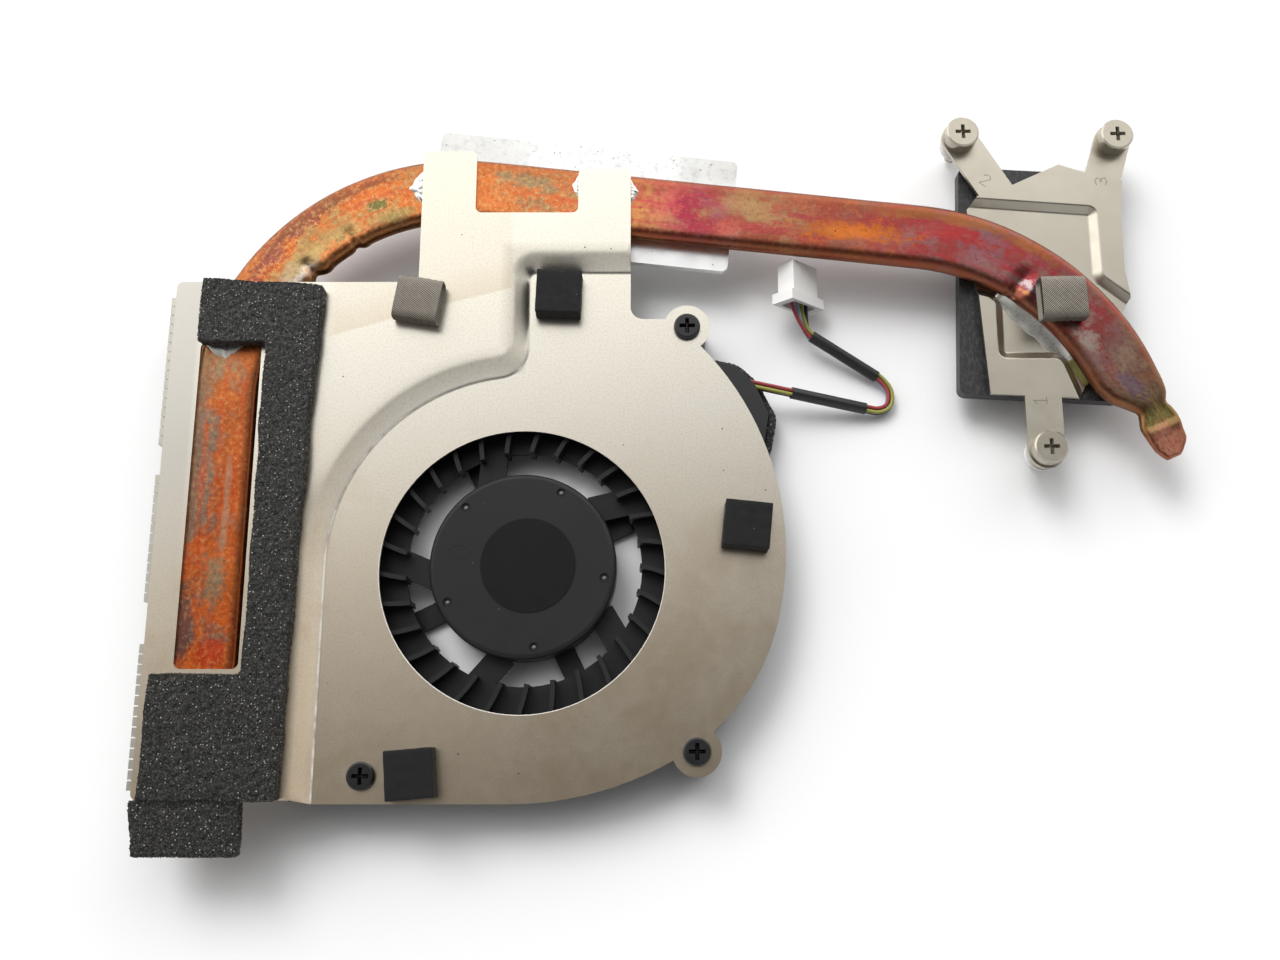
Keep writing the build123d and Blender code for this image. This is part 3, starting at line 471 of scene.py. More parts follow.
# Stains, and a painted highlight on the bulge past the dent: (distance, share round), (reach along,
# share round), colour
STAINS_AND_DENT_HIGHLIGHT = (
    ((92.4, 0.125), (4.2, 0.055), (0.6, 0.58, 0.54)),
    ((89.0, 0.36), (9.0, 0.055), (0.27, 0.085, 0.075)),
    ((106.0, 0.385), (10.0, 0.032), (0.27, 0.09, 0.05)),
    ((98.0, 0.165), (6.5, 0.045), (0.46, 0.31, 0.12)),
    ((103.0, 0.125), (5.5, 0.028), (0.34, 0.27, 0.11)),
    ((113.0, 0.125), (4.0, 0.026), (0.34, 0.25, 0.09)),
    ((110.5, 0.235), (1.3, 0.03), (0.1, 0.14, 0.045)),
    ((172.5, 0.3), (5.0, 0.1), (0.42, 0.25, 0.11)),
    ((189.5, 0.215), (7.5, 0.055), (0.6, 0.16, 0.02)),
    ((52.0, 0.175), (12.0, 0.018), (0.44, 0.22, 0.13)),
    ((40.0, 0.2), (4.0, 0.07), (0.27, 0.2, 0.11)),
    ((35.0, 0.37), (5.0, 0.05), (0.13, 0.065, 0.06)),
    ((28.6, 0.2), (1.6, 0.06), (0.55, 0.05, 0.012)),
    ((135.6, 0.34), (5.5, 0.05), (0.3, 0.24, 0.13)),
    ((208.0, 0.27), (6.0, 0.06), (0.4, 0.035, 0.04)),
    ((206.0, 0.385), (15.0, 0.034), (0.36, 0.13, 0.045)),
    # These two are a painted highlight on the bulge past the dent, pale with an orange spot, not
    # stains
    ((219.6, 0.15), (1.5, 0.04), (0.7, 0.6, 0.62)),
    ((219.4, 0.105), (1.3, 0.022), (0.8, 0.36, 0.1)),
    ((233.7, 0.14), (3.0, 0.06), (0.34, 0.3, 0.25)),
    ((242.3, 0.22), (2.2, 0.06), (0.16, 0.11, 0.15)),
)


def pipe_stations():
    """Stations along the pipe's middle line in mm: (distance, x, y, heading in radians)."""
    x, y = PIPE_START
    heading = pi / 2
    distance = 0.0
    stations = [(distance, x, y, heading)]
    for length, turn in PIPE_RUNS:
        steps = round(length / STATION)
        for _ in range(steps):
            heading += radians(turn) / steps / 2
            x += cos(heading) * length / steps
            y += sin(heading) * length / steps
            heading += radians(turn) / steps / 2
            distance += length / steps
            stations.append((distance, x, y, heading))
    return stations


def smooth(share):
    """A share from 0 to 1 with an eased start and end."""
    share = max(0.0, min(1.0, share))
    return share * share * (3 - 2 * share)


def pipe_size(distance):
    """Reach to the inner side, reach to the outer side and thickness at a distance along."""
    past = distance - TIP_START
    if past <= 0:
        blunt = 1 - smooth(distance / START_LENGTH)
        half = PIPE_HALF - START_NARROWS * blunt
        return half, half, PIPE_T - START_THINS * blunt
    for near, far in zip(TIP, TIP[1:]):
        if past <= far[0]:
            share = (past - near[0]) / (far[0] - near[0])
            return [a + (b - a) * share for a, b in zip(near[1:], far[1:])]
    return TIP[-1][1:]


def flattened(turn, thick):
    """A point of the flattened section: place on its flat (-1 to 1), offset across, offset up."""
    side = 1 if cos(turn) > 0 else -1
    swing = atan2(sin(turn), abs(cos(turn)))
    if abs(swing) < ROUND_SHARE:
        swing *= pi / 2 / ROUND_SHARE
        return side, side * cos(swing) * thick / 2, sin(swing) * thick / 2
    place = side * (pi / 2 - abs(swing)) / (pi / 2 - ROUND_SHARE)
    return place, 0, thick / 2 * (1 if swing > 0 else -1)


def hump(distance, half):
    """1 at no distance, easing to 0 past a half width."""
    return exp(-((distance / half) ** 2))


def pipe_wear(distance, place, up):
    """How the pipe's wall is moved by bending and knocks: (across, up) in mm."""
    across = 0.0
    rise = 0.0
    for at, depth, half in NOTCHES:
        deep = depth * hump(distance - at, half) * smooth((place - 0.35) / 0.5)
        across -= deep
        rise -= NOTCH_SINK * deep
    rise += CREASE_RISE * hump(distance - CREASE_AT, CREASE_HALF)
    past = distance - DENT_AT
    inner = smooth(place + 0.2)
    deep = hump(past, DENT_HALF) * inner
    across -= DENT_PUSH * deep
    rise -= DENT_SINK * deep
    rise += RIDGE_RISE * hump(past - RIDGE_PAST, RIDGE_HALF) * inner
    rise += PIPE_WAVE * noise.noise((distance * 0.16, place * 0.9, 21.0))
    return across, rise if up > 0 else 0.0


def pipe_mesh():
    """The flattened pipe as a mesh with a UV map along and round it, in metres."""
    around = 48
    work = bmesh.new()
    uv = work.loops.layers.uv.new("UVMap")
    stations = pipe_stations()
    rings = []
    for distance, x, y, heading in stations:
        inner, outer, thick = pipe_size(distance)
        ring = []
        for side in range(around):
            place, aside, up = flattened(2 * pi * side / around, thick)
            across = (inner - outer) / 2 + place * ((inner + outer) / 2 - thick / 2) + aside
            moved, rise = pipe_wear(distance, place, up)
            across += moved
            spot = (x + sin(heading) * across, y - cos(heading) * across, PIPE_LEVEL + up + rise)
            ring.append(work.verts.new(Vector(spot) * MM))
        rings.append(ring)
    for near, (first, second) in enumerate(zip(rings, rings[1:])):
        for side, face in enumerate(quads(work, first, second)):
            for loop, (step, turn) in zip(face.loops, ((0, 0), (1, 0), (1, 1), (0, 1))):
                loop[uv].uv = (stations[near + step][0] * MM, (side + turn) / around)
    work.faces.new(rings[0])
    work.faces.new(list(reversed(rings[-1])))
    return finished(work, "copper_pipe")


def stretched(place, scale, shift=(0, 0, 0)):
    """Coordinates at another scale, for long or shifted patterns."""
    inputs = {"Vector": place, "Location": shift, "Scale": scale}
    return node(place.id_data, "ShaderNodeMapping", inputs)[0]


def tints(run, stops):
    """A colour along the pipe from stops with a distance in mm and a colour."""
    return ramp(run, *[(distance / PIPE_LENGTH, colour) for distance, *colour in stops])


def patched(tint, flat, wander, place, reach, colour):
    """A tint with a ragged patch of another at a place on the pipe."""
    moved = vector_math("SUBTRACT", flat, (place[0] * MM, place[1], 0))[0]
    scaled = vector_math("MULTIPLY", moved, (1 / (reach[0] * MM), 1 / reach[1], 0))[0]
    far = vector_math("LENGTH", scaled)["Value"]
    ragged = plus(times(far, 0.4), wander)
    return blend(ramp(ragged, (0.22, 0.8), (0.52, 0.0)), tint, colour)


copper, tree, shader = new_material("tinted_copper")
flat = node(tree, "ShaderNodeUVMap", uv_map="UVMap")[0]
along, girth, _ = node(tree, "ShaderNodeSeparateXYZ", {0: flat})
run = math("DIVIDE", along, PIPE_LENGTH * MM)
skin = stretched(flat, (1.0, 0.025, 1.0))
cloud = speckle(tree, 170, 6, 0.64, skin)
patch = speckle(tree, 140, 6, 0.66, stretched(flat, (0.8, 0.025, 1), (0.4, 0.7, 0)))
streak = speckle(tree, 330, 5, 0.62, stretched(flat, (0.2, 0.07, 1.0)))
mottle = speckle(tree, 1300, 4, 0.7, skin)
wander = plus(plus(times(patch, 2.6), times(mottle, 1.4)), -2.0)
# The grey patches lie at the outer side in the window and at the inner side in the first bend
side = ramp(run, (0.29, 1.0), (0.34, 0.1), (0.5, 0.1), (0.56, 0.5))
lean = times(plus(girth, -0.25), plus(side, -0.5))
more = ramp(run, (0.28, 0.0), (0.34, 0.04), (0.46, 0.04), (0.52, 0.0))
mask = ramp(plus(plus(cloud, lean), more), (0.47, 0.0), (0.57, 0.9))
tint = blend(mask, tints(run, MAIN_TINTS), tints(run, PATCH_TINTS))
reds = ramp(streak, (0.5, 0.0), (0.62, 0.8))
tint = blend(reds, tint, tints(run, RED_TINTS))
glow = ramp(patch, (0.51, 0.0), (0.62, 0.85))
tint = blend(glow, tint, tints(run, GLOW_TINTS))
for place, reach, colour in STAINS_AND_DENT_HIGHLIGHT:
    tint = patched(tint, flat, wander, place, reach, colour)
tint = blend(ramp(mottle, (0.36, 0.45), (0.49, 0.0)), tint, (0.15, 0.06, 0.03))
flecked = ramp(
    run,
    (0.0, 0.3), (0.3, 0.5), (0.36, 1.0), (0.56, 0.9), (0.61, 0.22), (0.72, 0.2), (0.8, 0.06),
)
pale = times(flecked, ramp(mottle, (0.52, 0.0), (0.64, 0.75)))
tint = blend(pale, tint, (0.62, 0.4, 0.17))
flecks = times(flecked, dust(tree, 0.5, 0.25, 0.085))
tint = blend(flecks, tint, (0.66, 0.48, 0.26))
tint = blend(dust(tree, 1.5, 0.12, 0.11), tint, (0.03, 0.02, 0.015))
# Dark brown round the pipe's rounded sides and along its underside: partly a heat tint along the
# outer top edge, partly painted shade on the rounded sides and the underside
edge = ramp(
    girth,
    (0.0, 1.0), (0.075, 0.85), (0.115, 0.0), (0.33, 0.0),
    (0.4, 0.45), (0.43, 0.8), (0.5, 0.9), (0.93, 1.0),
)
edge_tint_and_shade = times(edge, ramp(mottle, (0.3, 0.95), (0.7, 0.6)))
tint = blend(edge_tint_and_shade, tint, (0.19, 0.065, 0.025))
shine = ramp(mottle, (0.3, 0.26), (0.7, 0.46))
dress(shader, tint, shine, 0.92)
grain(shader, plus(mottle, times(cloud, 2.0)), 0.35, 0.08)
pipe = scene_piece("copper_pipe", pipe_mesh(), [copper], "cooler")
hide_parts("heat_pipe")

# Solder: bright lips where the tab and the window's edge meet the pipe, and a fillet from the pipe
# down to the bracket's tray. Yellow flux is left along the lower end of the fillet.
PIPE_TOP = PIPE_LEVEL + PIPE_T / 2
TRAY_TOP = 6.5
BEND_CENTRE = (59.185, 16.03)
SECOND_INNER = SECOND_R - PIPE_HALF
OVERLAP = 0.45
LIP_ROOT, FILLET_ROOT = 0.3, 0.15
SAME_SPOT = 0.0002
# Name, middle of the edge, half length along it, way out, reach, thickness, roundness of the lip
LIPS = (
    ("solder_prong_left", (-17.25, 61.8), 3.0, (-1, 0), 2.2, 0.34, 1.6),
    ("solder_prong_notch", (8.05, 62.0), 2.1, (-1, 0), 1.15, 0.26, 1.2),
    ("solder_prong_right", (16.55, 61.0), 2.2, (1, 0), 1.15, 0.3, 1.2),
    ("solder_window", (-47.3, 34.95), 3.6, (0, -1), 2.9, 0.16, 1.05),
)


def rim_of(grid):
    """Neighbouring pairs round the rim of a grid of rows."""
    rim = grid[0] + [row[-1] for row in grid[1:-1]]
    rim += grid[-1][::-1] + [row[0] for row in grid[-2:0:-1]]
    return list(zip(rim, rim[1:] + rim[:1]))


def strip_mesh(name, floor, steps, parts, point, shape):
    """A closed lump with a smooth skin over a grid of points in mm, down to a flat floor."""
    outs = [part / parts for part in range(parts + 1)]
    rows = [[point(step / steps, out, *shape) for out in outs] for step in range(steps + 1)]
    work = bmesh.new()
    top = [[work.verts.new(Vector(spot) * MM) for spot in row] for row in rows]
    low = [[work.verts.new(Vector((x, y, floor)) * MM) for x, y, z in row] for row in rows]
    for grid in (top, low):
        for first, second in zip(grid, grid[1:]):
            for corners in zip(first, first[1:], second[1:], second):
                work.faces.new(corners).smooth = True
    for (a, b), (c, d) in zip(rim_of(top), rim_of(low)):
        work.faces.new((a, b, d, c))
    bmesh.ops.remove_doubles(work, verts=work.verts, dist=SAME_SPOT * MM)
    bmesh.ops.dissolve_degenerate(work, edges=work.edges, dist=SAME_SPOT * MM)
    return finished(work, name)


def lip_point(share, out, middle, half, way, reach, thick, roundness):
    """A point of a solder lip that creeps out from an edge over the pipe."""
    along = 2 * share - 1
    uneven = 1 + 0.3 * noise.noise((along * 3.2, middle[0], middle[1]))
    bulge = (1 - abs(along) ** roundness) * uneven
    lump = 1 + 0.45 * noise.noise((along * 5.0, out * 3.0, middle[1]))
    x = middle[0] + way[0] * reach * bulge * out - way[1] * half * along
    y = middle[1] + way[1] * reach * bulge * out + way[0] * half * along
    rise = thick * lump * (1 - out**2.2) * min(1, bulge * 2.5)
    return x, y, PIPE_TOP - 0.05 + rise


def fillet_point(share, out, begin, end, reach, rise):
    """A point of a fillet from the pipe's inner side down to the tray, between two turns."""
    turn = radians(begin + (end - begin) * share)
    uneven = 1 + 0.22 * noise.noise((share * 6.0, begin, 2.0))
    width = reach * sin(pi * share) ** 0.7 * uneven
    radius = SECOND_INNER + OVERLAP - (width + OVERLAP) * out
    lump = 0.06 * noise.noise((share * 10.0, out * 2.5, 5.0))
    x = BEND_CENTRE[0] + radius * cos(turn)
    y = BEND_CENTRE[1] + radius * sin(turn)
    lift = (rise + lump) * (1 - out) ** 1.7 * min(1, width * 2)
    return x, y, TRAY_TOP + 0.02 + lift


solder, tree, shader = new_material("solder_tin")
tone = blend(speckle(tree, 1400, 4, 0.7), (0.5, 0.49, 0.46), (0.74, 0.74, 0.72))
shine = ramp(speckle(tree, 900, 3), (0.35, 0.13), (0.65, 0.26))
dress(shader, tone, shine, 1)
grain(shader, speckle(tree, 1100, 3, 0.6), 0.2, 0.05)
frosted = metal("frosted_solder", (0.66, 0.64, 0.59), 0.3, 900, 0.76)
flux, tree, shader = new_material("flux_resin")
tone = blend(speckle(tree, 500, 3), (0.085, 0.075, 0.015), (0.22, 0.19, 0.045))
dress(shader, tone, 0.25)
grain(shader, speckle(tree, 1200, 3), 0.3, 0.06)
for name, *shape in LIPS:
    lip = strip_mesh(name, PIPE_TOP - LIP_ROOT, 36, 10, lip_point, shape)
    tin = frosted if name == "solder_window" else solder
    scene_piece(name, lip, [tin], "cooler")
for name, shape, matter in (
    ("solder_fillet", (60, 31, 2.2, 1.1), frosted),
    ("flux_residue", (34, 23.5, 0.6, 0.8), flux),
):
    fillet = strip_mesh(name, TRAY_TOP - FILLET_ROOT, 60, 8, fillet_point, shape)
    scene_piece(name, fillet, [matter], "cooler")

# Spreader plate: bright aluminium plate, brushed lengthways and soldered under the pipe.
# Its far side is greyer towards the ends, with scuffs and dark specks.


def place_parts(tree):
    """A point's x, y and z on the object, in metres."""
    return node(tree, "ShaderNodeSeparateXYZ", {0: object_place(tree)})


def span(value, start, length, clamp=False):
    """0 at the start of a span in mm and 1 at its end, from a value in metres."""
    return math("DIVIDE", plus(value, -start * MM), length * MM, clamp)


plate, tree, shader = new_material("plate_metal")
brushed = stretched(object_place(tree), (0.12, 1, 1))
tone = blend(speckle(tree, 900, 4, 0.6, brushed), 0.8, (0.93, 0.93, 0.92))
x, y, _ = place_parts(tree)
far_side = span(y, 57, 8, clamp=True)
along = span(x, -15, 50)
ends = ramp(along, (0.0, 1.0), (0.22, 1.0), (0.36, 0.0), (0.74, 0.0), (0.84, 1.0))
far_tone = blend(ends, (0.8, 0.8, 0.79), (0.655, 0.65, 0.625))
tone = blend(far_side, tone, far_tone)
scuffs = ramp(speckle(tree, 900, 6, 0.74), (0.52, 0.0), (0.6, 0.32))
tone = blend(times(scuffs, far_side), tone, (0.36, 0.36, 0.35))
tone = blend(dust(tree, 0.9, 0.22, 0.11), tone, (0.05, 0.05, 0.06))
shine = ramp(speckle(tree, 260, 3), (0.3, 0.32), (0.7, 0.48))
dress(shader, tone, shine, 1)
grain(shader, speckle(tree, 1800, 3, 0.6, brushed), 0.25, 0.02)
paint(["spreader_plate"], plate)

# Cold plate: copper block with a black coat, seen round the bracket that presses it down.
# The coat is scuffed all over, which shows as a fine grey mottle.
coat, tree, shader = new_material("black_coat")
worn = speckle(tree, 1900, 5, 0.75, stretched(object_place(tree), (1, 0.45, 1)))
tone = blend(speckle(tree, 160, 3), (0.01, 0.01, 0.011), (0.022, 0.022, 0.023))
tone = blend(ramp(worn, (0.47, 0.0), (0.65, 0.7)), tone, (0.07, 0.07, 0.073))
shine = ramp(worn, (0.3, 0.42), (0.7, 0.6))
dress(shader, tone, shine)
grain(shader, worn, 0.3, 0.03)
paint(["cold_plate"], coat)

# Spring bracket: stamped nickel-plated sheet with three arms, each with its screw's number stamped
# in dots. The captive screws turn in white nylon washers.
RIM_TOP = 7.5
DOT_R = 0.085
DOT_SPACING = 0.21
FIGURE_HEIGHT = 2.0
# Middle of the figure, turn in degrees, strokes in figure heights
FIGURES = (
    (
        (81.2, 26.2),
        90,
        (((0.0, 0.5), (0.0, -0.5)), ((-0.25, -0.5), (0.25, -0.5)), ((0.0, 0.5), (-0.22, 0.3))),
    ),
    (
        (75.0, 64.1),
        -38,
        (((-0.3, 0.3), (-0.1, 0.5), (0.15, 0.48), (0.3, 0.25), (-0.3, -0.5), (0.3, -0.5)),),
    ),
    (
        (94.0, 63.9),
        90,
        (
            ((-0.3, 0.38), (0.0, 0.5), (0.28, 0.32), (0.2, 0.08), (-0.05, 0.0)),
            ((-0.05, 0.0), (0.22, -0.1), (0.3, -0.32), (0.0, -0.5), (-0.3, -0.38)),
        ),
    ),
)


def stroke_dots(points, spacing):
    """Evenly spaced points along a line through some points."""
    dots = []
    for near, far in zip(points, points[1:]):
        steps = max(1, round((far - near).length / spacing))
        dots += [near.lerp(far, step / steps) for step in range(steps)]
    return dots + [points[-1]]


def laid_at(middle, level, turn):
    """The way to a spot on the object in mm, with a turn in degrees."""
    return Matrix.Translation((*middle, level)) @ Matrix.Rotation(radians(turn), 4, "Z")


bracket_nickel, tree, shader = new_material("bracket_nickel")
tone = blend(speckle(tree, 70, 4, 0.6), (0.46, 0.42, 0.34), (0.58, 0.54, 0.46))
tone = blend(dust(tree, 1.6, 0.12, 0.1), tone, (0.2, 0.17, 0.13))
shine = ramp(speckle(tree, 420, 3), (0.3, 0.28), (0.7, 0.4))
dress(shader, tone, shine, 1)
grain(shader, speckle(tree, 2200, 2), 0.2, 0.015)
paint(["spring_bracket"], bracket_nickel)

stamped = metal("stamped_nickel", (0.24, 0.21, 0.17), 0.5)
for number, (middle, turn, strokes) in enumerate(FIGURES, start=1):
    laid = laid_at(middle, RIM_TOP, turn)
    spots = []
    for stroke in strokes:
        corners = [laid @ Vector((x * FIGURE_HEIGHT, y * FIGURE_HEIGHT, 0)) for x, y in stroke]
        spots += stroke_dots(corners, DOT_SPACING)
    figure = dotted("dot_places", [spot * MM for spot in spots], DOT_R, stamped)
    scene_piece(f"stamped_figure_{number}", figure, [stamped], "cooler")

screw_nickel = metal("screw_nickel", (0.5, 0.46, 0.375), 0.18, metallic=0.7)
paint([f"captive_screw_{n}" for n in (1, 2, 3)], screw_nickel)
nylon = plastic("white_nylon", (0.8, 0.79, 0.77), (0.86, 0.85, 0.83), 0.42)
paint([f"retaining_washer_{n}" for n in (1, 2, 3)] + ["thrust_pad", "plug"], nylon)

# Fan cover: drawn steel sheet with a satin nickel plate, cream behind and browner in front.
# Heat has stained it behind a line from the gasket to the tab, and handling has left specks.
# It is screwed to the housing with three small black screws.
STEP_R = 32.5
STEP_SIDE = 2.2
STEP_BACK = 49.9
STEP_ROLL = 1.5
FOLD_AT = 0.26
INLET_R = 21.8
INLET_Y = -0.8
STRIP_SIDE = -50.5
SPECK_ROW = 52.2
cover_nickel, tree, shader = new_material("cover_nickel")
x, y, _ = place_parts(tree)
depth = span(y, -36, 104)
cloud = speckle(tree, 32, 4, 0.6)
tone = ramp(
    plus(depth, times(plus(cloud, -0.5), 0.3)),
    (0.0, (0.7, 0.58, 0.43)),
    (0.3, (0.72, 0.63, 0.5)),
    (0.6, (0.76, 0.72, 0.63)),
    (1.0, (0.8, 0.76, 0.66)),
)
line = plus(times(x, 0.285), 44.1 * MM)
behind = math("SUBTRACT", y, plus(line, times(cloud, 1.2 * MM)))
beside = ramp(span(x, -50, 50), (0.36, 0.0), (0.4, 1.0), (0.94, 1.0), (0.96, 0.0))
fading = ramp(span(behind, 0, 6), (0.0, 0.0), (0.06, 0.9), (0.7, 0.55), (1.0, 0.35))
tone = blend(times(fading, beside), tone, (0.68, 0.6, 0.47))
fine = ramp(speckle(tree, 3000, 2, 0.6), (0.36, 0.24), (0.56, 0.0))
tone = blend(fine, tone, (0.46, 0.41, 0.33))
smudge = ramp(speckle(tree, 60, 5, 0.66), (0.5, 0.0), (0.64, 0.45))
front = ramp(depth, (0.25, 1.0), (0.55, 0.15), (0.75, 0.0))
tone = blend(times(smudge, front), tone, (0.55, 0.42, 0.28))
outer = span(x, STRIP_SIDE, -1.5, clamp=True)
greyer = ramp(depth, (0.25, 0.0), (0.5, 0.75), (0.88, 0.8), (1.0, 0.35))
tone = blend(times(outer, greyer), tone, (0.5, 0.475, 0.43))
tone = blend(dust(tree, 2.2, 0.1, 0.13), tone, (0.16, 0.12, 0.08))
# Two short rows of dark specks lie along the tab
slanted = plus(y, times(x, 0.112))
off_row = math("ABSOLUTE", plus(slanted, -SPECK_ROW * MM))
in_rows = ramp(
    span(x, -17, 34),
    (0.04, 0.0), (0.05, 1.0), (0.22, 1.0), (0.24, 0.0), (0.75, 0.0), (0.77, 1.0),
)
rows = times(math("LESS_THAN", off_row, 0.4 * MM), in_rows)
tone = blend(times(rows, dust(tree, 0.6, 0.4, 0.13)), tone, 0.02)
# The upper edge of the drawn step is rolled softly: round the fan, down its left side and across
# behind the pad
from_fan = node(tree, "ShaderNodeCombineXYZ", {0: x, 1: math("MAXIMUM", y, 0.0)})[0]
past_round = plus(vector_math("LENGTH", from_fan)["Value"], -STEP_R * MM)
past_side = math("SUBTRACT", -STEP_SIDE * MM, x)
by_pad = math("MAXIMUM", past_side, plus(y, -STEP_BACK * MM))
near_step = span(math("MINIMUM", past_round, by_pad), -5, 10)
rolled = ramp(near_step, (0.27, 0.0), (0.4, 1.0), (0.56, 1.0), (0.72, 0.0))
# A painted highlight, near white and less metallic, runs along the step's lower fold; the near cut
# edge of the inlet is made the same way, partly bare cut edge and partly painted highlight
fold_highlight = ramp(
    near_step,
    (FOLD_AT - 0.022, 0.0), (FOLD_AT - 0.004, 1.0), (FOLD_AT + 0.006, 1.0), (FOLD_AT + 0.024, 0.0),
)
patchy = ramp(speckle(tree, 420, 4, 0.65), (0.38, 0.35), (0.56, 0.85))
in_front = ramp(depth, (0.56, 1.0), (0.66, 0.0))
fold_highlight = times(times(fold_highlight, patchy), in_front)
on_plan = node(tree, "ShaderNodeCombineXYZ", {0: x, 1: y})[0]
from_inlet = vector_math("DISTANCE", on_plan, (0, INLET_Y * MM, 0))["Value"]
rim = math("LESS_THAN", from_inlet, (INLET_R + 0.1) * MM)
near = ramp(depth, (0.2, 0.9), (0.36, 0.6), (0.42, 0.0))
highlight_and_bare_edge = math("MAXIMUM", fold_highlight, times(rim, near))
tone = blend(highlight_and_bare_edge, tone, (0.9, 0.87, 0.8))
shine = ramp(speckle(tree, 700, 3), (0.3, 0.28), (0.7, 0.31))
shine = plus(shine, times(rolled, 0.3))
metal_share = math("SUBTRACT", 1.0, highlight_and_bare_edge)
dress(shader, tone, shine, metal_share)
roll = times(rolled, STEP_ROLL * MM)
soft = node(tree, "ShaderNodeBevel", {"Radius": roll}, samples=8)[0]
grain(shader, speckle(tree, 2400, 2), 0.18, 0.02, soft)
paint(["fan_cover"], cover_nickel)
black_oxide = plastic("black_oxide", (0.006, 0.006, 0.007), (0.012, 0.012, 0.013), 0.34)
paint(["cover_screws"], black_oxide)

# Foam gaskets: soft open-cell foam cut from sheet, stuck round the cover's window and at the
# cable's way out. The cells leave pits and broken struts all over, which catch the light and make
# the cut edges ragged.
FOAM_GRAIN = 0.29
FOAM_CELL = 0.45
PIT_DEPTH = 0.18
PIT_WALL = 0.45
FOAM_WAVE = 0.3
WAVE_LENGTH = 5
STRUT_LENGTH = 0.17
STRUT_R = 0.07
STRUTS = 1.0e7
NOISE_SEED = 11
# Where the window's gasket lies out of true: its far edge, its right side and its front left corner
GASKET_RIGHT = -20
FAR_X, FAR_Y, FAR_SHIFT, FAR_SLANT = -51, 34, 0.7, 0.075
SIDE_X, SIDE_Y, SIDE_LEAN, SIDE_FRONT_LEAN = -39, 26, 0.06, 0.021
CORNER_X, CORNER_Y, CORNER_SHIFT = -47, -35, 0.8
# CAD node, piece in its place, seed of its struts
GASKETS = (("foam_gasket", "porous_gasket", 3), ("exit_foam", "porous_exit_strip", 4))
noise.seed_set(NOISE_SEED)


def foam_body(name):
    """A foam node's solid as fine even faces with the cells' pits pushed in."""
    work = placed("work", nodes[name].data.copy())
    modifier = work.modifiers.new("even", "REMESH")
    modifier.voxel_size = FOAM_GRAIN * MM
    mesh = applied(work)
    spots = [(vertex.co.copy(), vertex.normal.copy()) for vertex in mesh.vertices]
    for vertex, (spot, out) in zip(mesh.vertices, spots):
        distances, _ = noise.voronoi(spot / (FOAM_CELL * MM))
        pit = min(1.0, (distances[1] - distances[0]) / PIT_WALL)
        wave = noise.noise_vector(spot / (WAVE_LENGTH * MM)) * (FOAM_WAVE * MM)
        x, y = spot.x / MM, spot.y / MM
        wave.y += smooth((y - FAR_Y) / 4) * (FAR_SHIFT - FAR_SLANT * (x - FAR_X)) * MM
        if x < GASKET_RIGHT:
            past = y - SIDE_Y
            lean = SIDE_LEAN if past > 0 else SIDE_FRONT_LEAN
            wave.x += smooth((x - SIDE_X) / 3) * past * lean * MM
            wave.x += CORNER_SHIFT * smooth((CORNER_Y - y) / 6) * smooth((CORNER_X - x) / 4) * MM
        wave.z = 0
        vertex.co = spot + wave - out * (PIT_DEPTH * pit * MM)
    for face in mesh.polygons:
        face.use_smooth = True
    return mesh


struts, entry = node_group(
    "foam_struts",
    {"Per square metre": "Float", "Length": "Float", "Seed": "Int", "Material": "Material"},
)
places = node(
    struts,
    "GeometryNodeDistributePointsOnFaces",
    {"Mesh": entry["Geometry"], "Density": entry["Per square metre"], "Seed": entry["Seed"]},
)
strut = node(
    struts,
    "GeometryNodeMeshCone",
    {"Vertices": 3, "Radius Top": 0.0, "Radius Bottom": STRUT_R * MM, "Depth": entry["Length"]},
    fill_type="NGON",
)
tilt = node(
    struts,
    "FunctionNodeRandomValue",
    {0: (-1.5, -1.5, 0), 1: (1.5, 1.5, 6.3), "Seed": entry["Seed"]},
    data_type="FLOAT_VECTOR",
)[0]
stretch = node(
    struts,
    "FunctionNodeRandomValue",
    {2: 0.5, 3: 1.3, "Seed": entry["Seed"]},
    data_type="FLOAT",
)[1]
standing = node(
    struts,
    "GeometryNodeInstanceOnPoints",
    {"Points": places["Points"], "Instance": strut["Mesh"], "Rotation": tilt, "Scale": stretch},
)[0]
joined = struts.nodes.new("GeometryNodeJoinGeometry")
for part in (entry["Geometry"], standing):
    struts.links.new(part, joined.inputs[0])
end_group(struts, joined.outputs[0], entry["Material"])

foam, tree, shader = new_material("dark_foam")
tone = ramp(
    speckle(tree, 3600, 3, 0.65),
    (0.42, (0.0028, 0.0027, 0.0023)),
    (0.52, (0.0095, 0.009, 0.0077)),
    (0.6, (0.046, 0.044, 0.038)),
)
tone = blend(dust(tree, 0.4, 0.4, 0.1), tone, (0.085, 0.082, 0.074))
# The pale specks are painted glints of the foam's struts
tone = blend(dust(tree, 0.5, 0.42, 0.095), tone, (0.36, 0.35, 0.33))
shine = ramp(speckle(tree, 2600, 2), (0.35, 0.22), (0.6, 0.8))
dress(shader, tone, shine)
grain(shader, speckle(tree, 5200, 2, 0.7), 0.4, 0.06)
for solid, name, seed in GASKETS:
    values = {"Per square metre": STRUTS, "Length": STRUT_LENGTH * MM, "Seed": seed}
    mesh = grown(foam_body(solid), struts, {**values, "Material": foam})
    piece = scene_piece(name, mesh, [foam], "cooler")
    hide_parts(solid)

# Rubber pads: cut squares of soft black rubber stuck on the cover, as bevelled blocks with a slight
# waist, an uneven skin and dust.
PAD_SIDE = 7.2
PAD_T = 3.2
PAD_BEVEL = 0.2
PAD_WAIST = 0.1
PAD_UNEVEN = 0.045
LOW_TOP = 8.0
FACE_ORDER = Vector((1.0, 31.0, 977.0))
# Middle, turn in degrees
PADS = (((5.1, 43.2), -2), ((34.3, 5.7), -6), ((-15.4, -31.1), 5))


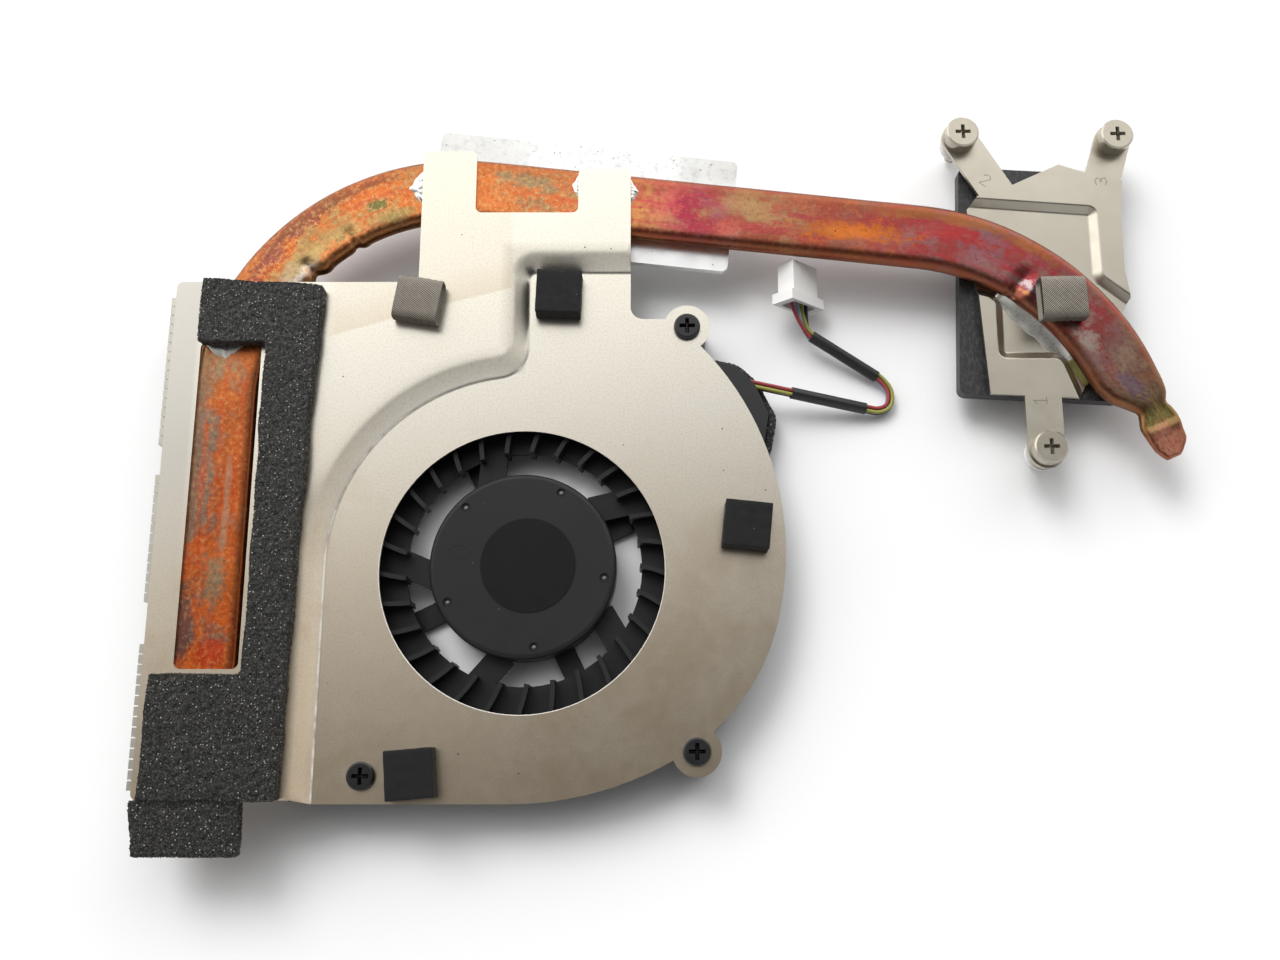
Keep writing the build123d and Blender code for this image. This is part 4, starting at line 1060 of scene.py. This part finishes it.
def pad_mesh(name, middle, turn):
    """A bevelled square pad with a slightly uneven skin."""
    work = bmesh.new()
    bmesh.ops.create_cube(work, size=1)
    bmesh.ops.scale(work, vec=(PAD_SIDE, PAD_SIDE, PAD_T), verts=work.verts)
    edges = list(work.edges)
    bmesh.ops.bevel(work, geom=edges, offset=PAD_BEVEL, segments=3, profile=0.5, affect="EDGES")
    wide = [edge for edge in work.edges if edge.calc_length() > 1]
    bmesh.ops.subdivide_edges(work, edges=wide, cuts=17, use_grid_fill=True)
    for vertex in work.verts:
        spot = vertex.co / 1.3 + Vector((*middle, 0))
        waist = PAD_WAIST * (1 - (2 * vertex.co.z / PAD_T) ** 2)
        vertex.co.x *= 1 - waist / PAD_SIDE
        vertex.co.y *= 1 - waist / PAD_SIDE
        vertex.co += noise.noise_vector(spot) * PAD_UNEVEN
        vertex.co.z = max(vertex.co.z, -PAD_T / 2)
    work.faces.sort(key=lambda face: face.calc_center_median().dot(FACE_ORDER))
    for face in work.faces:
        face.smooth = True
    return finished(work, name, laid_at(middle, LOW_TOP + PAD_T / 2, turn))


rubber, tree, shader = new_material("pad_rubber")
tone = blend(speckle(tree, 220, 4, 0.6), (0.0055, 0.0055, 0.006), (0.0105, 0.0105, 0.011))
tone = blend(dust(tree, 0.8, 0.05, 0.07), tone, 0.16)
shine = ramp(speckle(tree, 700, 3), (0.3, 0.55), (0.7, 0.75))
dress(shader, tone, shine, gloss=0.28)
grain(shader, speckle(tree, 2500, 3, 0.6), 0.35, 0.04)
for number, (middle, turn) in enumerate(PADS, start=1):
    name = f"soft_pad_{number}"
    pad = scene_piece(name, pad_mesh(name, middle, turn), [rubber], "cooler")
    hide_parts(f"rubber_pad_{number}")

# Fabric gaskets: a strip of foam wrapped in grey metallised twill, folded round its long edges and
# open at its ends. One is stuck on the cover and one on the pipe.
CLOTH_SIDE = 7.0
CLOTH_T = 3.2
CLOTH_SQUARE = 5.5
CLOTH_SOFT = 0.1
TWILL = 0.36
TWILL_RISE = 0.08
# How far the open ends' foam lies back, and the insets of the foam, the cloth's edge and its face
END_BACK, FOAM_IN, EDGE_IN, FACE_IN = 0.7, 0.28, 0.24, 0.06
# Middle, turn in degrees, level
WRAPS = (((-16.8, 41.3), -9, 10.0), ((84.64, 41.8), 1, 9.5))


def wrap_section(count):
    """The wrapped strip's section as evenly spaced points, (y, z, run round it), and whole run."""

    def squared(part):
        return abs(part) ** (2 / CLOTH_SQUARE) * (1 if part > 0 else -1)

    turns = [2 * pi * step / 4000 for step in range(4001)]
    fine = [(CLOTH_SIDE / 2 * squared(cos(a)), CLOTH_T / 2 * squared(sin(a))) for a in turns]
    runs = [0.0]
    for (y, z), (next_y, next_z) in zip(fine, fine[1:]):
        runs.append(runs[-1] + hypot(next_y - y, next_z - z))
    section = []
    at = 0
    for step in range(count):
        run = runs[-1] * step / count
        while runs[at + 1] < run:
            at += 1
        share = (run - runs[at]) / (runs[at + 1] - runs[at])
        (y, z), (next_y, next_z) = fine[at], fine[at + 1]
        section.append((y + (next_y - y) * share, z + (next_z - z) * share, run))
    return section, runs[-1]


def wrap_mesh(name, middle, turn, level):
    """A foam strip wrapped in twill, with the cloth's thickness and the foam at the open ends."""
    along, around = 78, 212
    section, whole = wrap_section(around)
    work = bmesh.new()
    uv = work.loops.layers.uv.new("UVMap")

    def ring(x, inset, woven):
        spots = []
        for y, z, run in section:
            out = Vector((0, y / (CLOTH_SIDE / 2), z / (CLOTH_T / 2))).normalized()
            ribs = 0.5 + 0.5 * cos(2 * pi * (x + run) / TWILL)
            twill = ribs * (0.7 + 0.3 * cos(2 * pi * (x - run) / TWILL / 3))
            soft = CLOTH_SOFT * noise.noise((x / 2.2, y / 2.2, z / 2.2 + middle[0]))
            lift = woven * (TWILL_RISE * twill + soft) - inset
            low = -CLOTH_T / 2
            spots.append(work.verts.new((x, y + out.y * lift, max(z + out.z * lift, low))))
        return spots

    half = CLOTH_SIDE / 2
    back = half - END_BACK
    rings = [(-back, ring(-back, FOAM_IN, 0)), (-half, ring(-half, EDGE_IN, 0))]
    for step in range(along + 1):
        x = -half + CLOTH_SIDE * step / along
        rings.append((x, ring(x + 0.05 * noise.noise((step * 0.9, middle[1], 0)), FACE_IN, 1)))
    rings += [(half, ring(half, EDGE_IN, 0)), (back, ring(back, FOAM_IN, 0))]
    runs = [run for y, z, run in section] + [whole]
    for (x, first), (next_x, second) in zip(rings, rings[1:]):
        for face, run, next_run in zip(quads(work, first, second), runs, runs[1:]):
            corners = ((x, run), (next_x, run), (next_x, next_run), (x, next_run))
            for loop, corner in zip(face.loops, corners):
                loop[uv].uv = Vector(corner) * MM
    for cap in (rings[0][1], rings[-1][1]):
        work.faces.new(cap).material_index = 1
    return finished(work, name, laid_at(middle, level + CLOTH_T / 2, turn))


twill, tree, shader = new_material("grey_twill")
cloth = node(tree, "ShaderNodeUVMap", uv_map="UVMap")[0]
threads = node(
    tree,
    "ShaderNodeTexWave",
    {"Vector": cloth, "Scale": 2 * pi / (10 * TWILL * MM), "Distortion": 0.6, "Detail": 1.0},
    bands_direction="DIAGONAL",
)["Fac"]
tone = blend(speckle(tree, 700, 4, 0.6), (0.26, 0.228, 0.185), (0.42, 0.375, 0.315))
tone = blend(ramp(threads, (0.25, 1.0), (0.7, 0.0)), tone, (0.04, 0.035, 0.029))
shine = ramp(threads, (0.2, 0.65), (0.8, 0.42))
dress(shader, tone, shine, 0.35)
grain(shader, speckle(tree, 4200, 2, 0.6), 0.5, 0.04)
for number, (middle, turn, level) in enumerate(WRAPS, start=1):
    name = f"twill_wrap_{number}"
    mesh = wrap_mesh(name, middle, turn, level)
    wrap = scene_piece(name, mesh, [twill, foam], "cooler")
    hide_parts(f"fabric_gasket_{number}")

# Fan cable: four insulated wires in two rows, through two shrink sleeves to a white plug.
# They lie as they fell on the table, in the route of the wires' solids.
ROUTE = (
    (34.6, 30.0, 4.7), (38.4, 29.2, 4.6), (56.8, 26.2, 1.2), (58.7, 27.0, 1.1),
    (59.0, 29.6, 1.1), (57.5, 31.6, 1.2), (45.3, 38.9, 3.2),
)
# Runs of the route inside the sleeves, the last one first
SLEEVED_RUNS = (5, 1)
WIRE_SPACING = 0.68
WIRE_D = 0.62
PLUG_SEAT = Vector((43.9, 43.0, 4.35))
PLUG_ROLL = radians(43)
PLUG_POCKET = 1.6
PLUG_LEAD = 1.8
CONTACT_SPACING = 1.25
STRAIGHT = 1.6
# Colour, side and height in the bundle, tone
WIRES = (
    ("red", 1, 1, (0.33, 0.045, 0.05)),
    ("blue", 1, -1, (0.3, 0.4, 0.52)),
    ("yellow", -1, 1, (0.32, 0.31, 0.065)),
    ("black", -1, -1, (0.015, 0.015, 0.016)),
)


def wire_points(side, lift, place):
    """Route of a wire in mm: the bundle's, moved sideways and up, then spread to its contact."""
    centres = [Vector(point) for point in ROUTE]
    runs = [(far - near).normalized() for near, far in zip(centres, centres[1:])]
    lefts = [Vector((-run.y, run.x, 0)).normalized() for run in runs]
    points = []
    for centre, before, after in zip(centres, lefts[:1] + lefts, lefts + lefts[-1:]):
        middle = (before + after).normalized()
        aside = middle * (side * WIRE_SPACING / 2 / middle.dot(after))
        points.append(centre + aside + Vector((0, 0, lift * WIRE_SPACING / 2)))
    plug_side = Vector((cos(PLUG_ROLL), 0, -sin(PLUG_ROLL)))
    contact = plug_side * ((place - 1.5) * CONTACT_SPACING)
    seat = PLUG_SEAT + contact + Vector((0, PLUG_POCKET, 0))
    return points + [seat - Vector((0, PLUG_LEAD, 0)), seat]


def held_straight(points, run):
    """The points with two more on a run, which keep a smooth line straight between them."""
    near, far = points[run], points[run + 1]
    way = (far - near).normalized() * STRAIGHT
    return points[: run + 1] + [near + way, far - way] + points[run + 1 :]


def wire_line(name, points, material):
    """A round wire as a smooth curve along its control points."""
    curve = bpy.data.curves.new(name, "CURVE")
    curve.dimensions = "3D"
    curve.bevel_depth = WIRE_D / 2 * MM
    curve.bevel_resolution = 4
    curve.resolution_u = 12
    curve.use_fill_caps = True
    spline = curve.splines.new("NURBS")
    spline.points.add(len(points) - 1)
    for control, point in zip(spline.points, points):
        control.co = (*(point * MM), 1)
    spline.order_u = 3
    spline.use_endpoint_u = True
    curve.materials.append(material)
    return placed(name, curve)


shrunk = plastic("shrink_sleeve", (0.007, 0.007, 0.008), (0.016, 0.016, 0.017), 0.46, 0.01)
paint(["sleeve_1", "sleeve_2"], shrunk)
for place, (colour, side, lift, tone) in enumerate(WIRES):
    points = wire_points(side, lift, place)
    for run in SLEEVED_RUNS:
        points = held_straight(points, run)
    darker = tuple(part * 0.8 for part in tone)
    insulation = plastic(f"{colour}_insulation", darker, tone, 0.4)
    wire = wire_line(f"lead_{colour}", points, insulation)
    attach(wire, "cooler")
    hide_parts(f"wire_{colour}")
